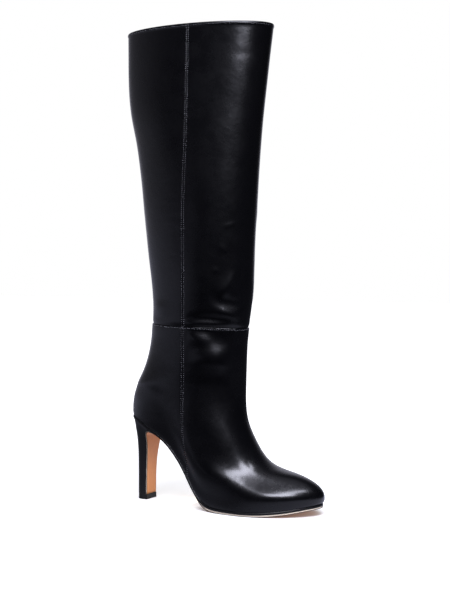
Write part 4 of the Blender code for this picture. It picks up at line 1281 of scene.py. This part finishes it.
# name, place, target, width and height in metres, watts, colour
LIGHTS = (
    ("softbox_upper_half", (0.92, -0.33, 2.17), (0.07, 0.52, 0.33), (1.19, 0.44), 25, COOL),
    ("softbox_lower_half", (0.71, -1.21, 1.87), (-0.14, -0.36, 0.02), (1.32, 0.68), 56, COOL),
    ("paper_bounce", (0.066, -0.004, 0.013), (0.004, 0.0, 0.034), (0.045, 0.016), 0.025, WARM),
    ("low_strip", (0.51, -0.475, 0.605), (0.12, 0.0, 0.46), (0.19, 0.10), 1.2, COOL),
)
for name, place, target, size, watts, colour in LIGHTS:
    light = bpy.data.lights.new(name, "AREA")
    light.shape = "RECTANGLE"
    light.size, light.size_y = size
    light.energy = watts
    light.color = hex_colour(colour)[:3]
    add_aimed(name, light, place, target).visible_camera = False
print("lights:", [name for name, *_ in LIGHTS])

# %% Glow by direction, and what a camera and a mirror see
def side_glow(tree, direction, side, low, high, start, end):
    """Glow that goes softly from start to end as a direction turns towards one side."""
    toward = add_node(tree, "ShaderNodeVectorMath", {0: direction, 1: side},
                      operation="DOT_PRODUCT")
    return add_node(tree, "ShaderNodeMapRange", {
        "Value": toward.outputs["Value"], "From Min": low, "From Max": high, "To Min": start,
        "To Max": end}, interpolation_type="SMOOTHSTEP").outputs["Result"]


def seen_and_mirrored(tree, seen, mirrored, output):
    """Show one shader to the camera and another to everything else, such as a mirroring skin."""
    path = add_node(tree, "ShaderNodeLightPath")
    both = add_node(tree, "ShaderNodeMixShader", {0: path.outputs["Is Camera Ray"],
                                                  1: mirrored.outputs[0], 2: seen.outputs[0]})
    tree.links.new(both.outputs[0], output.inputs["Surface"])


print("white for the camera, a studio for the leather")

# %% Paper floor
PAPER_MIDDLE = (0.08, 0.0, 0.0)
PAPER_HALF = 6.0
# matt coated paper is so even that only a faint mottle of its pulp is left, 2.5 mm wide
paper, tree, shader, place = new_material("backdrop_paper_white", "#f4f4f4", 0.5, IOR=1.45)
grain = add_node(tree, "ShaderNodeTexNoise", {"Vector": place, "Scale": 1 / (2.5 * MM),
                                              "Detail": 3.0})
patterned(tree, shader, grain.outputs["Fac"], tones=("#c6c6c6", "#cccccc"))
away = add_node(tree, "ShaderNodeVectorMath", {0: place, 1: PAPER_MIDDLE},
                operation="SUBTRACT").outputs["Vector"]
distance = add_node(tree, "ShaderNodeVectorMath", {0: away}, operation="LENGTH").outputs["Value"]
# what the eye sees glows a little more with distance, with a painted contact shadow where the soles
# touch it;
# what the leather mirrors is a painted glow, a sheet half a metre across that fades out
outer_glow, sheet = [
    add_node(tree, "ShaderNodeMapRange", {"Value": distance, "From Min": low, "From Max": high,
                                          "To Min": start, "To Max": end},
             interpolation_type="SMOOTHSTEP").outputs["Result"]
    for low, high, start, end in ((0.1, 0.8, 0.75, 1.1), (0.15, 0.4, 1.0, 0.03))]
shade = add_node(tree, "ShaderNodeAmbientOcclusion", {"Distance": 14 * MM})
glow = add_node(tree, "ShaderNodeMath", {0: outer_glow, 1: shade.outputs["AO"]},
                operation="MULTIPLY")
tree.links.new(glow.outputs[0], shader.inputs["Emission Strength"])
shader.inputs["Emission Color"].default_value = hex_colour("#ffffff")
# the mirrored painted glow is brighter behind the shoe, and glows again on the paper far to the
# left
behind_shoe = side_glow(tree, away, (0.5, 0.87, 0.0), -0.15, 0.3, 0.11, 1.6)
far_left = side_glow(tree, away, (-1.0, 0.0, 0.0), 0.1, 0.8, 0.0, 0.4)
strength = add_node(tree, "ShaderNodeMath", {0: behind_shoe, 1: sheet, 2: far_left},
                    operation="MULTIPLY_ADD")
mirrored = add_node(tree, "ShaderNodeEmission", {"Color": hex_colour("#e2e4ff"),
                                                 "Strength": strength.outputs[0]})
seen_and_mirrored(tree, shader, mirrored, tree.nodes["Material Output"])
floor = mesh_piece("paper_floor", [(x * PAPER_HALF, y * PAPER_HALF, 0) for x, y in
                                   ((-1, -1), (1, -1), (1, 1), (-1, 1))], [(0, 1, 2, 3)])
floor.data.materials.append(paper)
print("floor:", [round(v, 1) for v in floor.dimensions])

# %% Dark room with a lit backdrop
room = bpy.data.worlds.new("studio_room")
room.use_nodes = True
tree = room.node_tree
tree.nodes.clear()
direction = add_node(tree, "ShaderNodeTexCoord").outputs["Object"]
# the wall on the left fades towards the floor
wall = side_glow(tree, direction, (-0.97, 0.0, -0.24), 0.45, 0.95, 0.035, 0.45)
wall_foot = side_glow(tree, direction, (0.0, 0.0, -1.0), -0.06, 0.14, 0.4, 1.15)
strength = add_node(tree, "ShaderNodeMath", {0: wall, 1: wall_foot}, operation="MULTIPLY")
# the backdrop behind the shoe, its soft surround, and the ceiling
for side, low, high, end in (((-0.47, 0.88, 0.0), 0.8, 0.98, 0.65),
                             ((-0.47, 0.88, 0.0), 0.55, 0.88, 0.12),
                             ((0.0, 0.0, 1.0), 0.8, 0.99, 0.35)):
    glow = side_glow(tree, direction, side, low, high, 0.0, end)
    strength = add_node(tree, "ShaderNodeMath", {0: strength.outputs[0], 1: glow}, operation="ADD")
dim = add_node(tree, "ShaderNodeBackground", {"Color": hex_colour("#eeedff"),
                                              "Strength": strength.outputs[0]})
white = add_node(tree, "ShaderNodeBackground", {"Color": hex_colour("#ffffff"), "Strength": 1.0})
seen_and_mirrored(tree, white, dim, add_node(tree, "ShaderNodeOutputWorld"))
bpy.context.scene.world = room
bpy.context.scene.view_settings.view_transform = "Standard"
print("room nodes:", len(tree.nodes))
